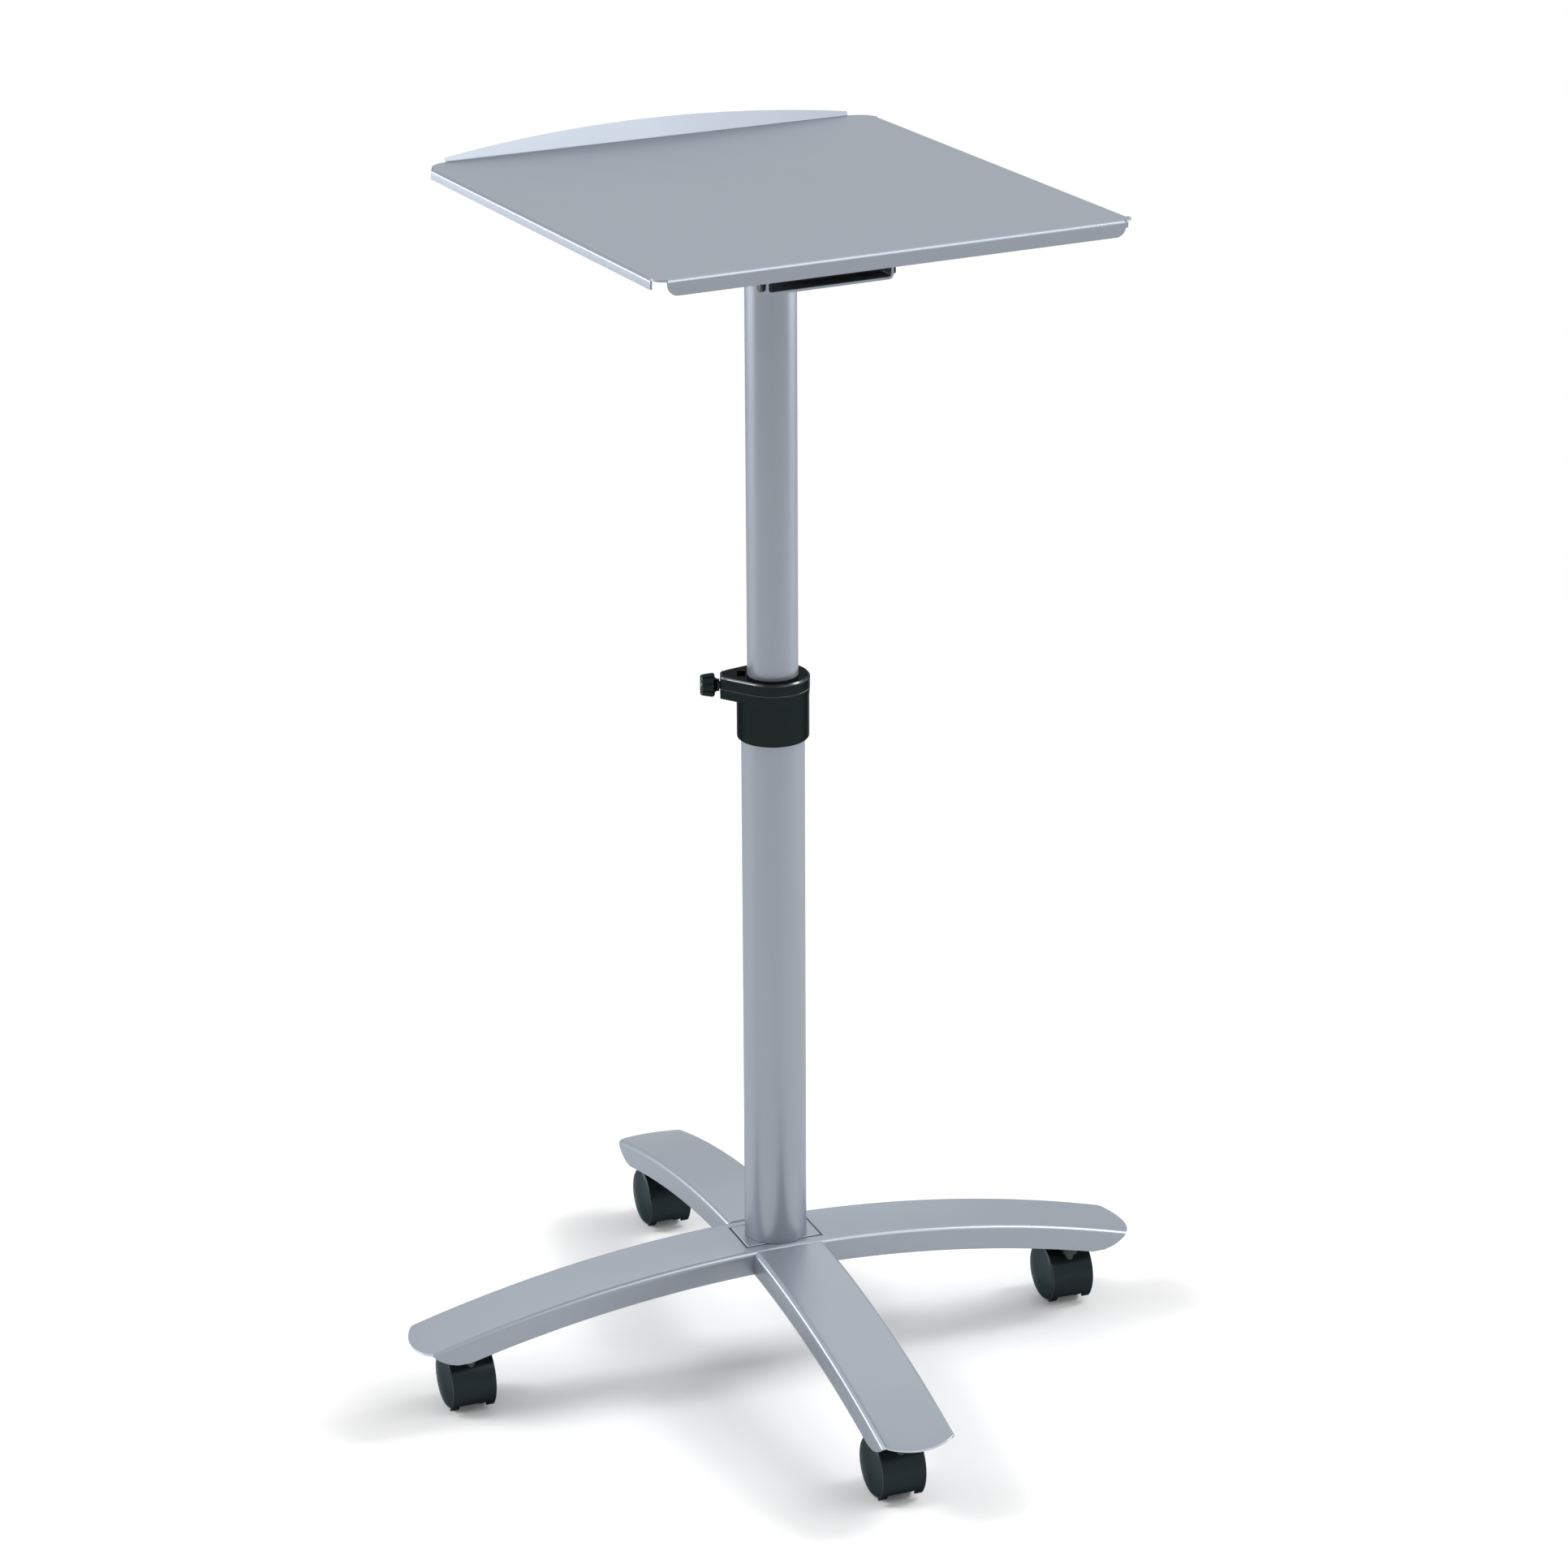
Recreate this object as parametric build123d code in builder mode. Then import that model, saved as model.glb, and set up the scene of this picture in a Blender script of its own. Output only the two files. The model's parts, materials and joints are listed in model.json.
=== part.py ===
from build123d import *
from math import acos, asin, atan2, cos, degrees, hypot, radians, sin, sqrt
import os

# A stand on four castors: an arched sheet-metal cross, a telescopic column with a clamp,
# and a tray that swivels with the upper tube and tilts on a hinged channel.
# Millimetres and degrees, +Z up, origin on the floor under the column, front towards -Y.

# Clearances
RUNNING_FIT = 0.1  # radial, where a piece turns or slides on another
SEAT_FIT = 0.05  # radial, where a piece is fixed in another
STOP_GAP = 0.3  # between a stop and what rests on it

# Castors, built with the stem on the Z axis and the wheels trailing towards +Y
WHEEL_RADIUS = 25
WHEEL_WIDTH = 11.5
WHEEL_DOME = 2.5
WHEEL_SHOULDER = 3
CASTOR_TRAIL = 17
WEB_WIDTH = 15
WEB_GAP = 1
HUB_RADIUS = 9
AXLE_RADIUS = 3
AXLE_GRIP = 7
HOOD_GAP = 1.2
HOOD_WALL = 1.8
HOOD_WIDTH = 37
HOOD_REAR_ANGLE = 70
HOOD_FRONT_ANGLE = 213
HOOD_CHEEK_ANGLE = 226
HOOD_NOTCH_WIDTH = 23
STEM_RADIUS = 5
STEM_DEPTH = 20
STEM_RING_RADIUS = 7.5
STEM_RING_HEIGHT = 5
STEM_RING_GAP = 1.5

# Cross base of arched, inverted U channel
ARCH_RADIUS = 1100
ARM_WIDTH = 61
ARM_DEPTH = 20
ARM_SHEET = 2
ARM_BEND = 4.5
ARM_REACH = 300
ARM_END_BULGE = 11
FLANGE_TOP_LEAD = 2
FLANGE_SWEEP = 30
FLANGE_SAG = 4.5
FLANGE_CUT = 3.5
CASTOR_INSET = 38
FLANGE_GAP = 8.4
BRIDGE_LENGTH = 40
BRIDGE_THICKNESS = 4
BRIDGE_DROP = 9.8

# Foot plate that shows in a window of the cross beam
FOOT_LENGTH = 63
FOOT_DEPTH = 38
FOOT_GAP = 1.5
FOOT_FLANGE = 9
FOOT_FLANGE_THICKNESS = 4

# Telescopic column
LOWER_TUBE_RADIUS = 25
UPPER_TUBE_RADIUS = 20
TUBE_WALL = 2
LOWER_TUBE_LENGTH = 464.5
UPPER_TUBE_LENGTH = 610.7
TUBE_OVERLAP = 267
BUSH_HEIGHT = 30
BUSH_LIP = 3
BUSH_LIP_INSET = 1.5

# Clamp collar, built with its lug along +X and then turned
CLAMP_TURN = 160
COLLAR_RADIUS = 28.6
COLLAR_GRIP = 38
COLLAR_CAP = 14
COLLAR_FOOT_ROUND = 2.5
COLLAR_RIM_HEIGHT = 11.4
COLLAR_RIM_STEP = 0.6
LUG_REACH = 41
LUG_END_WIDTH = 14
LUG_HEIGHT = 18
LUG_ROUND = 2
SCREW_RADIUS = 3
SCREW_TIP_GAP = 0.4
NUT_WIDTH = 13
NUT_HEIGHT = 9
NUT_THICKNESS = 6
NUT_INSET = 1.5
NUT_GAP = 0.2
KNOB_GAP = 0.5
KNOB_NECK_RADIUS = 5
KNOB_NECK_LENGTH = 3.5
KNOB_RADIUS = 9.5
KNOB_LENGTH = 11.6
KNOB_TAPER = 5
KNOB_LOBES = 6
KNOB_FLUTE_RADIUS = 6
KNOB_FLUTE_DEPTH = 1.1
KNOB_ROUND = 1

# Head: channel on the upper tube, hinge pin and black saddle
HEAD_TURN = 6
CHANNEL_WIDTH = 106
CHANNEL_LENGTH = 194
CHANNEL_HEIGHT = 50.5
CHANNEL_SHEET = 2
CHANNEL_BEND = 4
CHANNEL_REAR_ROUND = 26
CHANNEL_FRONT_ROUND = 5
PIN_RADIUS = 5
PIN_BACK = 78
PIN_DROP = 20
PIN_HEAD_RADIUS = 8
PIN_HEAD_HEIGHT = 3
SADDLE_GAP = 5
SADDLE_WALL = 2.5
SADDLE_TOP = 3
SADDLE_FRONT_INSET = 2
SADDLE_REAR_ROUND = 13
SADDLE_RISE_LENGTH = 45
BOSS_RADIUS = 9

# Tray of bent sheet
TRAY_WIDTH = 389
TRAY_DEPTH = 414
TRAY_SHEET = 1.5
TRAY_BEND = 3
SIDE_FLANGE_DEPTH = 8.5
SIDE_FLANGE_FRONT_INSET = 11
SIDE_FLANGE_REAR_INSET = 17
FRONT_FLANGE_DEPTH = 12
FRONT_FLANGE_INSET = 8.5
FRONT_FLANGE_ROUND = 8
FRONT_CORNER = 10
REAR_CORNER = 20
LIP_HEIGHT = 14.5
LIP_END_RISE = 3
LIP_INSET = 19.5
LIP_LEAN = 25

# Heights and places that follow from the sizes above
CASTOR_REACH = ARM_REACH - CASTOR_INSET
HOOD_RADIUS = WHEEL_RADIUS + HOOD_GAP + HOOD_WALL
HOOD_TOP = WHEEL_RADIUS + HOOD_RADIUS
ARCH_DROP = ARCH_RADIUS - sqrt((ARCH_RADIUS - ARM_DEPTH) ** 2 - CASTOR_REACH**2)
BASE_CROWN = HOOD_TOP + FLANGE_GAP + ARCH_DROP
LOWER_TUBE_TOP = BASE_CROWN + LOWER_TUBE_LENGTH
UPPER_TUBE_FOOT = LOWER_TUBE_TOP - TUBE_OVERLAP
COLLAR_FOOT = LOWER_TUBE_TOP - COLLAR_GRIP
COLLAR_TOP = LOWER_TUBE_TOP + COLLAR_CAP
CLAMP_HEIGHT = COLLAR_TOP - LUG_HEIGHT / 2
CHANNEL_FLOOR = UPPER_TUBE_FOOT + UPPER_TUBE_LENGTH
TRAY_UNDERSIDE = CHANNEL_FLOOR + CHANNEL_HEIGHT + STOP_GAP
TRAY_TOP = TRAY_UNDERSIDE + TRAY_SHEET
PIN_HEIGHT = TRAY_UNDERSIDE - PIN_DROP

os.makedirs("parts", exist_ok=True)


def save(piece, label):
    """Write one finished piece under its own name."""
    piece.label = label
    export_step(piece, f"parts/{label}.step")


def arch_height(reach, radius):
    """Height of an arc concentric with the arched top, at a distance from the column."""
    return BASE_CROWN - ARCH_RADIUS + sqrt(radius**2 - reach**2)


def arched_bar(start, end, width, top_radius, depth, bend):
    """Solid bar along X that follows the arch, with its two long top edges rounded."""
    stations = (start, (start + end) / 2, end)
    top = [(x, arch_height(x, top_radius)) for x in stations]
    bottom = [(x, arch_height(x, top_radius - depth)) for x in stations]
    with BuildPart() as bar:
        with BuildSketch(Plane.XZ):
            with BuildLine():
                ThreePointArc(*top)
                Line(top[2], bottom[2])
                ThreePointArc(*bottom)
                Line(bottom[0], top[0])
            make_face()
        extrude(amount=width / 2, both=True)
        long_edges = bar.edges().filter_by(GeomType.CIRCLE).sort_by(lambda edge: edge.radius)[-2:]
        fillet(long_edges, bend)
    return bar.part


def arched_channel(start, end):
    """Inverted U of bent sheet along X that follows the arch, before its ends are shaped."""
    inner_width = ARM_WIDTH - 2 * ARM_SHEET
    inner_radius = ARCH_RADIUS - ARM_SHEET
    outer = arched_bar(start, end, ARM_WIDTH, ARCH_RADIUS, ARM_DEPTH, ARM_BEND)
    inner = arched_bar(
        start - ARM_SHEET, end + ARM_SHEET, inner_width, inner_radius, ARM_DEPTH, ARM_BEND - ARM_SHEET
    )
    with BuildPart() as channel:
        add(outer)
        add(inner, mode=Mode.SUBTRACT)
    return channel.part


# What is cut from an arm's end along +X: a rounded end from above, swept-back flanges from the side
arm_half = ARM_WIDTH / 2
arm_tip = ARM_REACH + ARM_END_BULGE
bar_end = arm_tip + ARM_SHEET
cut_end = arm_tip + arm_half
flange_top = ARM_REACH + FLANGE_TOP_LEAD
flange_foot = ARM_REACH - FLANGE_SWEEP
flange_top_point = (flange_top, arch_height(flange_top, ARCH_RADIUS))
flange_foot_point = (flange_foot, arch_height(flange_foot, ARCH_RADIUS - ARM_DEPTH))
with BuildPart() as end_cut:
    with BuildSketch():
        with BuildLine():
            ThreePointArc((ARM_REACH, -arm_half), (arm_tip, 0), (ARM_REACH, arm_half))
            Polyline((ARM_REACH, arm_half), (cut_end, arm_half), (cut_end, -arm_half), (ARM_REACH, -arm_half))
        make_face()
    extrude(amount=2 * BASE_CROWN)
    for side in (-1, 1):
        with BuildSketch(Plane.XZ.offset(side * (arm_half - FLANGE_CUT / 2))):
            with BuildLine():
                SagittaArc(flange_top_point, flange_foot_point, FLANGE_SAG)
                Polyline(
                    flange_foot_point,
                    (flange_foot, 0),
                    (cut_end, 0),
                    (cut_end, BASE_CROWN),
                    (flange_top, BASE_CROWN),
                    flange_top_point,
                )
            make_face()
        extrude(amount=FLANGE_CUT, both=True)

# Cross beam: left and right arm in one, with the window for the foot plate
beam_blank = arched_channel(-bar_end, bar_end)
with BuildPart() as cross_beam:
    add(beam_blank)
    add(end_cut.part, mode=Mode.SUBTRACT)
    add(end_cut.part.mirror(Plane.YZ), mode=Mode.SUBTRACT)
    with BuildSketch(Plane.XY.offset(BASE_CROWN)):
        Rectangle(FOOT_LENGTH + 2 * FOOT_GAP, FOOT_DEPTH + 2 * FOOT_GAP)
    extrude(amount=-2 * ARM_SHEET, mode=Mode.SUBTRACT)
save(cross_beam.part, "cross_beam")

# Front and rear arms, butted against the beam's side flanges
arm_blank = arched_channel(arm_half, bar_end)
with BuildPart() as side_arm:
    add(arm_blank)
    add(end_cut.part, mode=Mode.SUBTRACT)
save(side_arm.part.rotate(Axis.Z, -90), "front_arm")
save(side_arm.part.rotate(Axis.Z, 90), "rear_arm")

# Foot plate: a pad level with the beam's top, on a wider flange under the sheet
foot_flange_top = arch_height(FOOT_LENGTH / 2 + FOOT_FLANGE, ARCH_RADIUS - ARM_SHEET)
with BuildPart() as foot_plate:
    with BuildSketch(Plane.XY.offset(foot_flange_top)):
        Rectangle(FOOT_LENGTH, FOOT_DEPTH)
    extrude(amount=BASE_CROWN - foot_flange_top)
    with BuildSketch(Plane.XY.offset(foot_flange_top)):
        Rectangle(FOOT_LENGTH + 2 * FOOT_FLANGE, FOOT_DEPTH + FOOT_FLANGE)
    extrude(amount=-FOOT_FLANGE_THICKNESS)
save(foot_plate.part, "foot_plate")

# Lower tube
with BuildPart() as lower_tube:
    with BuildSketch(Plane.XY.offset(BASE_CROWN)):
        Circle(LOWER_TUBE_RADIUS)
        Circle(LOWER_TUBE_RADIUS - TUBE_WALL, mode=Mode.SUBTRACT)
    extrude(amount=LOWER_TUBE_LENGTH)
save(lower_tube.part, "lower_tube")

# Upper tube
with BuildPart() as upper_tube:
    with BuildSketch(Plane.XY.offset(UPPER_TUBE_FOOT)):
        Circle(UPPER_TUBE_RADIUS)
        Circle(UPPER_TUBE_RADIUS - TUBE_WALL, mode=Mode.SUBTRACT)
    extrude(amount=UPPER_TUBE_LENGTH)
save(upper_tube.part, "upper_tube")

# Guide bush on the upper tube's foot, running inside the lower tube
bush_radius = LOWER_TUBE_RADIUS - TUBE_WALL - RUNNING_FIT
bush_floor = UPPER_TUBE_FOOT - RUNNING_FIT
with BuildPart() as guide_bush:
    with BuildSketch(Plane.XY.offset(bush_floor - BUSH_LIP)):
        Circle(bush_radius)
        Circle(UPPER_TUBE_RADIUS - BUSH_LIP_INSET, mode=Mode.SUBTRACT)
    extrude(amount=BUSH_LIP + BUSH_HEIGHT)
    with BuildSketch(Plane.XY.offset(bush_floor)):
        Circle(UPPER_TUBE_RADIUS + RUNNING_FIT)
    extrude(amount=BUSH_HEIGHT, mode=Mode.SUBTRACT)
save(guide_bush.part, "guide_bush")

# Clamp collar with its lug, screw hole and nut pocket
lug_half = LUG_END_WIDTH / 2
lug_angle = atan2(lug_half, LUG_REACH) + acos(COLLAR_RADIUS / hypot(LUG_REACH, lug_half))
lug_root = (COLLAR_RADIUS * cos(lug_angle), COLLAR_RADIUS * sin(lug_angle))
nut_start = UPPER_TUBE_RADIUS + NUT_INSET
with BuildPart() as clamp_collar:
    with BuildSketch(Plane.XY.offset(COLLAR_FOOT)):
        Circle(COLLAR_RADIUS)
    extrude(amount=COLLAR_GRIP + COLLAR_CAP)
    fillet(clamp_collar.edges().sort_by(Axis.Z)[0], COLLAR_FOOT_ROUND)
    with BuildSketch(Plane.XY.offset(COLLAR_TOP - COLLAR_RIM_HEIGHT)):
        Circle(COLLAR_RADIUS + COLLAR_RIM_STEP)
    extrude(amount=COLLAR_RIM_HEIGHT)
    with BuildSketch(Plane.XY.offset(COLLAR_TOP - LUG_HEIGHT)):
        with BuildLine():
            Polyline(
                (0, 0),
                lug_root,
                (LUG_REACH, lug_half),
                (LUG_REACH, -lug_half),
                (lug_root[0], -lug_root[1]),
                close=True,
            )
        make_face()
    extrude(amount=LUG_HEIGHT)
    fillet(clamp_collar.edges().filter_by(Axis.Z).sort_by(Axis.X)[-2:], LUG_ROUND)
    with BuildSketch(Plane.XY.offset(COLLAR_FOOT)):
        Circle(LOWER_TUBE_RADIUS + SEAT_FIT)
    extrude(amount=COLLAR_GRIP, mode=Mode.SUBTRACT)
    with BuildSketch(Plane.XY.offset(LOWER_TUBE_TOP)):
        Circle(UPPER_TUBE_RADIUS + RUNNING_FIT)
    extrude(amount=COLLAR_CAP, mode=Mode.SUBTRACT)
    with BuildSketch(Plane.YZ.offset(UPPER_TUBE_RADIUS)):
        with Locations((0, CLAMP_HEIGHT)):
            Circle(SCREW_RADIUS + RUNNING_FIT)
    extrude(amount=LUG_REACH, mode=Mode.SUBTRACT)
    with BuildSketch(Plane.XY.offset(COLLAR_TOP)):
        with Locations((nut_start - NUT_GAP, 0)):
            Rectangle(
                NUT_THICKNESS + 2 * NUT_GAP, NUT_WIDTH + 2 * NUT_GAP, align=(Align.MIN, Align.CENTER)
            )
    extrude(amount=CLAMP_HEIGHT - NUT_HEIGHT / 2 - COLLAR_TOP, mode=Mode.SUBTRACT)
save(clamp_collar.part.rotate(Axis.Z, CLAMP_TURN), "clamp_collar")

# Block nut that stands in the collar's pocket
with BuildPart() as clamp_nut:
    with BuildSketch(Plane.YZ.offset(nut_start)):
        with Locations((0, CLAMP_HEIGHT)):
            Rectangle(NUT_WIDTH, NUT_HEIGHT)
            Circle(SCREW_RADIUS + RUNNING_FIT, mode=Mode.SUBTRACT)
    extrude(amount=NUT_THICKNESS)
save(clamp_nut.part.rotate(Axis.Z, CLAMP_TURN), "clamp_nut")

# Clamp screw, from just short of the upper tube to the knob
knob_start = LUG_REACH + KNOB_GAP
with BuildPart() as clamp_screw:
    with BuildSketch(Plane.YZ.offset(UPPER_TUBE_RADIUS + SCREW_TIP_GAP)):
        with Locations((0, CLAMP_HEIGHT)):
            Circle(SCREW_RADIUS)
    extrude(amount=knob_start - UPPER_TUBE_RADIUS - SCREW_TIP_GAP)
save(clamp_screw.part.rotate(Axis.Z, CLAMP_TURN), "clamp_screw")

# Clamp knob: a neck and a lobed head that narrows outwards
flute_centre = KNOB_RADIUS - KNOB_FLUTE_DEPTH + KNOB_FLUTE_RADIUS
with BuildPart() as clamp_knob:
    with BuildSketch(Plane.YZ.offset(knob_start)):
        with Locations((0, CLAMP_HEIGHT)):
            Circle(KNOB_NECK_RADIUS)
    extrude(amount=KNOB_NECK_LENGTH)
    with BuildSketch(Plane.YZ.offset(knob_start + KNOB_NECK_LENGTH)):
        with Locations((0, CLAMP_HEIGHT)):
            Circle(KNOB_RADIUS)
            with PolarLocations(flute_centre, KNOB_LOBES):
                Circle(KNOB_FLUTE_RADIUS, mode=Mode.SUBTRACT)
    extrude(amount=KNOB_LENGTH, taper=KNOB_TAPER)
    fillet(clamp_knob.faces().sort_by(Axis.X)[-1].edges(), KNOB_ROUND)
save(clamp_knob.part.rotate(Axis.Z, CLAMP_TURN), "clamp_knob")

# Head channel: a U of bent sheet, rounded at the hinge
channel_half = CHANNEL_WIDTH / 2
with BuildPart() as head_channel:
    with BuildSketch(Plane.XZ):
        with Locations((0, CHANNEL_FLOOR)):
            outer = Rectangle(CHANNEL_WIDTH, CHANNEL_HEIGHT, align=(Align.CENTER, Align.MIN))
        fillet(outer.vertices().sort_by(Axis.Y)[:2], CHANNEL_BEND)
    extrude(amount=CHANNEL_LENGTH / 2, both=True)
    with BuildSketch(Plane.XZ):
        with Locations((0, CHANNEL_FLOOR + CHANNEL_SHEET)):
            inner = Rectangle(
                CHANNEL_WIDTH - 2 * CHANNEL_SHEET, CHANNEL_HEIGHT, align=(Align.CENTER, Align.MIN)
            )
        fillet(inner.vertices().sort_by(Axis.Y)[:2], CHANNEL_BEND - CHANNEL_SHEET)
    extrude(amount=CHANNEL_LENGTH, both=True, mode=Mode.SUBTRACT)
    top_corners = head_channel.edges().filter_by(Axis.X).group_by(Axis.Z)[-1]
    fillet(top_corners.sort_by(Axis.Y)[-2:], CHANNEL_REAR_ROUND)
    top_corners = head_channel.edges().filter_by(Axis.X).group_by(Axis.Z)[-1]
    fillet(top_corners.sort_by(Axis.Y)[:2], CHANNEL_FRONT_ROUND)
    with BuildSketch(Plane.YZ):
        with Locations((PIN_BACK, PIN_HEIGHT)):
            Circle(PIN_RADIUS + SEAT_FIT)
    extrude(amount=CHANNEL_WIDTH, both=True, mode=Mode.SUBTRACT)
save(head_channel.part.rotate(Axis.Z, HEAD_TURN), "head_channel")

# Hinge pin across the channel, with a head outside each wall
with BuildPart() as hinge_pin:
    with BuildSketch(Plane.YZ):
        with Locations((PIN_BACK, PIN_HEIGHT)):
            Circle(PIN_RADIUS)
    extrude(amount=channel_half, both=True)
    for side in (-1, 1):
        with BuildSketch(Plane.YZ.offset(side * channel_half)):
            with Locations((PIN_BACK, PIN_HEIGHT)):
                Circle(PIN_HEAD_RADIUS)
        extrude(amount=side * PIN_HEAD_HEIGHT)
save(hinge_pin.part.rotate(Axis.Z, HEAD_TURN), "hinge_pin")

# Tilt saddle under the tray: top, two walls and a front web, swinging inside the channel
saddle_half = channel_half - CHANNEL_SHEET - SADDLE_GAP
saddle_foot = CHANNEL_FLOOR + CHANNEL_SHEET + SADDLE_GAP
saddle_front = SADDLE_FRONT_INSET - CHANNEL_LENGTH / 2
saddle_rear = PIN_BACK + SADDLE_REAR_ROUND
boss_end = channel_half - CHANNEL_SHEET - STOP_GAP
with BuildPart() as tilt_saddle:
    with BuildSketch(Plane.YZ):
        with BuildLine():
            Polyline(
                (saddle_rear, PIN_HEIGHT),
                (saddle_rear, TRAY_UNDERSIDE),
                (saddle_front, TRAY_UNDERSIDE),
                (saddle_front, saddle_foot),
                (PIN_BACK - SADDLE_RISE_LENGTH, saddle_foot),
                (PIN_BACK, PIN_HEIGHT - SADDLE_REAR_ROUND),
            )
            CenterArc((PIN_BACK, PIN_HEIGHT), SADDLE_REAR_ROUND, -90, 90)
        make_face()
    extrude(amount=saddle_half, both=True)
    with BuildSketch(Plane.YZ):
        with Locations((saddle_front + SADDLE_WALL, TRAY_UNDERSIDE - SADDLE_TOP)):
            Rectangle(2 * CHANNEL_LENGTH, CHANNEL_HEIGHT, align=(Align.MIN, Align.MAX))
    extrude(amount=saddle_half - SADDLE_WALL, both=True, mode=Mode.SUBTRACT)
    for side in (-1, 1):
        with BuildSketch(Plane.YZ.offset(side * (saddle_half - SADDLE_WALL))):
            with Locations((PIN_BACK, PIN_HEIGHT)):
                Circle(BOSS_RADIUS)
        extrude(amount=side * (boss_end - saddle_half + SADDLE_WALL))
    with BuildSketch(Plane.YZ):
        with Locations((PIN_BACK, PIN_HEIGHT)):
            Circle(PIN_RADIUS + RUNNING_FIT)
    extrude(amount=CHANNEL_WIDTH, both=True, mode=Mode.SUBTRACT)
save(tilt_saddle.part.rotate(Axis.Z, HEAD_TURN), "tilt_saddle")


def bent_edge(plane, edge, height, turn, half_length, lean=0):
    """A bend and its flange, drawn outwards along the plane's X, upright at edge or leaning past it.

    The flange ends at height, below the sheet with turn -1 and above it with turn 1.
    """
    bend_start = edge - TRAY_BEND
    bend_angle = turn * (90 - lean)
    run = Vector(cos(radians(bend_angle)), sin(radians(bend_angle)))
    outer_face = TRAY_TOP if turn < 0 else TRAY_UNDERSIDE
    inner_face = TRAY_UNDERSIDE if turn < 0 else TRAY_TOP
    centre = (bend_start, outer_face + turn * TRAY_BEND)
    with BuildPart() as strip:
        with BuildSketch(plane):
            with BuildLine():
                outer = CenterArc(centre, TRAY_BEND, -turn * 90, bend_angle)
                inner = CenterArc(centre, TRAY_BEND - TRAY_SHEET, -turn * 90, bend_angle)
                Line((bend_start, outer_face), (bend_start, inner_face))
                flange = run * ((height - (outer @ 1).Y) / run.Y)
                Polyline(outer @ 1, outer @ 1 + flange, inner @ 1 + flange, inner @ 1)
            make_face()
        extrude(amount=half_length, both=True)
    return strip.part


# Tray: flat sheet with side flanges, a deeper front flange and an arched rear lip
half_width = TRAY_WIDTH / 2
half_depth = TRAY_DEPTH / 2
sheet_rear = half_depth - TRAY_BEND
side_start = SIDE_FLANGE_FRONT_INSET - half_depth
side_end = half_depth - SIDE_FLANGE_REAR_INSET
side_middle = (side_start + side_end) / 2
side_half = (side_end - side_start) / 2
front_half = half_width - FRONT_FLANGE_INSET
lip_half = half_width - LIP_INSET
side_foot = TRAY_TOP - SIDE_FLANGE_DEPTH
front_foot = TRAY_TOP - FRONT_FLANGE_DEPTH
lip_end = TRAY_TOP + LIP_END_RISE
lip_top = TRAY_TOP + LIP_HEIGHT
left_plane = Plane(origin=(0, side_middle, 0), x_dir=(-1, 0, 0), z_dir=(0, 1, 0))
right_plane = Plane(origin=(0, side_middle, 0), x_dir=(1, 0, 0), z_dir=(0, -1, 0))
front_plane = Plane(origin=(0, 0, 0), x_dir=(0, -1, 0), z_dir=(-1, 0, 0))
left_flange = bent_edge(left_plane, half_width, side_foot, -1, side_half)
right_flange = bent_edge(right_plane, half_width, side_foot, -1, side_half)
front_strip = bent_edge(front_plane, half_depth, front_foot, -1, front_half)
lip_strip = bent_edge(Plane.YZ, half_depth, lip_top, 1, lip_half, LIP_LEAN)

with BuildPart() as front_flange:
    add(front_strip)
    lower_corners = front_flange.edges().filter_by(Axis.Y).group_by(Axis.Z)[0]
    fillet(lower_corners, FRONT_FLANGE_ROUND)

with BuildPart() as rear_lip:
    add(lip_strip)
    with BuildSketch(Plane.XZ):
        with BuildLine():
            ThreePointArc((-lip_half, lip_end), (0, lip_top), (lip_half, lip_end))
            Polyline(
                (lip_half, lip_end), (lip_half, CHANNEL_FLOOR), (-lip_half, CHANNEL_FLOOR), (-lip_half, lip_end)
            )
        make_face()
    extrude(amount=-TRAY_DEPTH, mode=Mode.INTERSECT)

with BuildPart() as tray:
    with BuildSketch(Plane.XY.offset(TRAY_UNDERSIDE)):
        with Locations((0, -half_depth)):
            sheet = Rectangle(TRAY_WIDTH, half_depth + sheet_rear, align=(Align.CENTER, Align.MIN))
        sheet_corners = sheet.vertices().sort_by(Axis.Y)
        fillet(sheet_corners[:2], FRONT_CORNER)
        fillet(sheet_corners[-2:], REAR_CORNER)
        with Locations((-half_width, side_start)):
            Rectangle(TRAY_BEND, 2 * side_half, align=(Align.MIN, Align.MIN), mode=Mode.SUBTRACT)
        with Locations((half_width, side_start)):
            Rectangle(TRAY_BEND, 2 * side_half, align=(Align.MAX, Align.MIN), mode=Mode.SUBTRACT)
        with Locations((0, -half_depth)):
            Rectangle(2 * front_half, TRAY_BEND, align=(Align.CENTER, Align.MIN), mode=Mode.SUBTRACT)
    extrude(amount=TRAY_SHEET)
    add((left_flange, right_flange, front_flange.part, rear_lip.part))
save(tray.part.rotate(Axis.Z, HEAD_TURN), "tray")

# Bridge plate that holds a castor stem inside an arm
bridge_top = arch_height(CASTOR_REACH, ARCH_RADIUS - ARM_SHEET) - BRIDGE_DROP
bridge_foot = bridge_top - BRIDGE_THICKNESS
with BuildPart() as castor_bridge:
    with BuildSketch(Plane.XY.offset(bridge_foot)):
        with Locations((CASTOR_REACH, 0)):
            Rectangle(BRIDGE_LENGTH, ARM_WIDTH - 2 * ARM_SHEET)
            Circle(STEM_RADIUS + SEAT_FIT, mode=Mode.SUBTRACT)
    extrude(amount=BRIDGE_THICKNESS)

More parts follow.
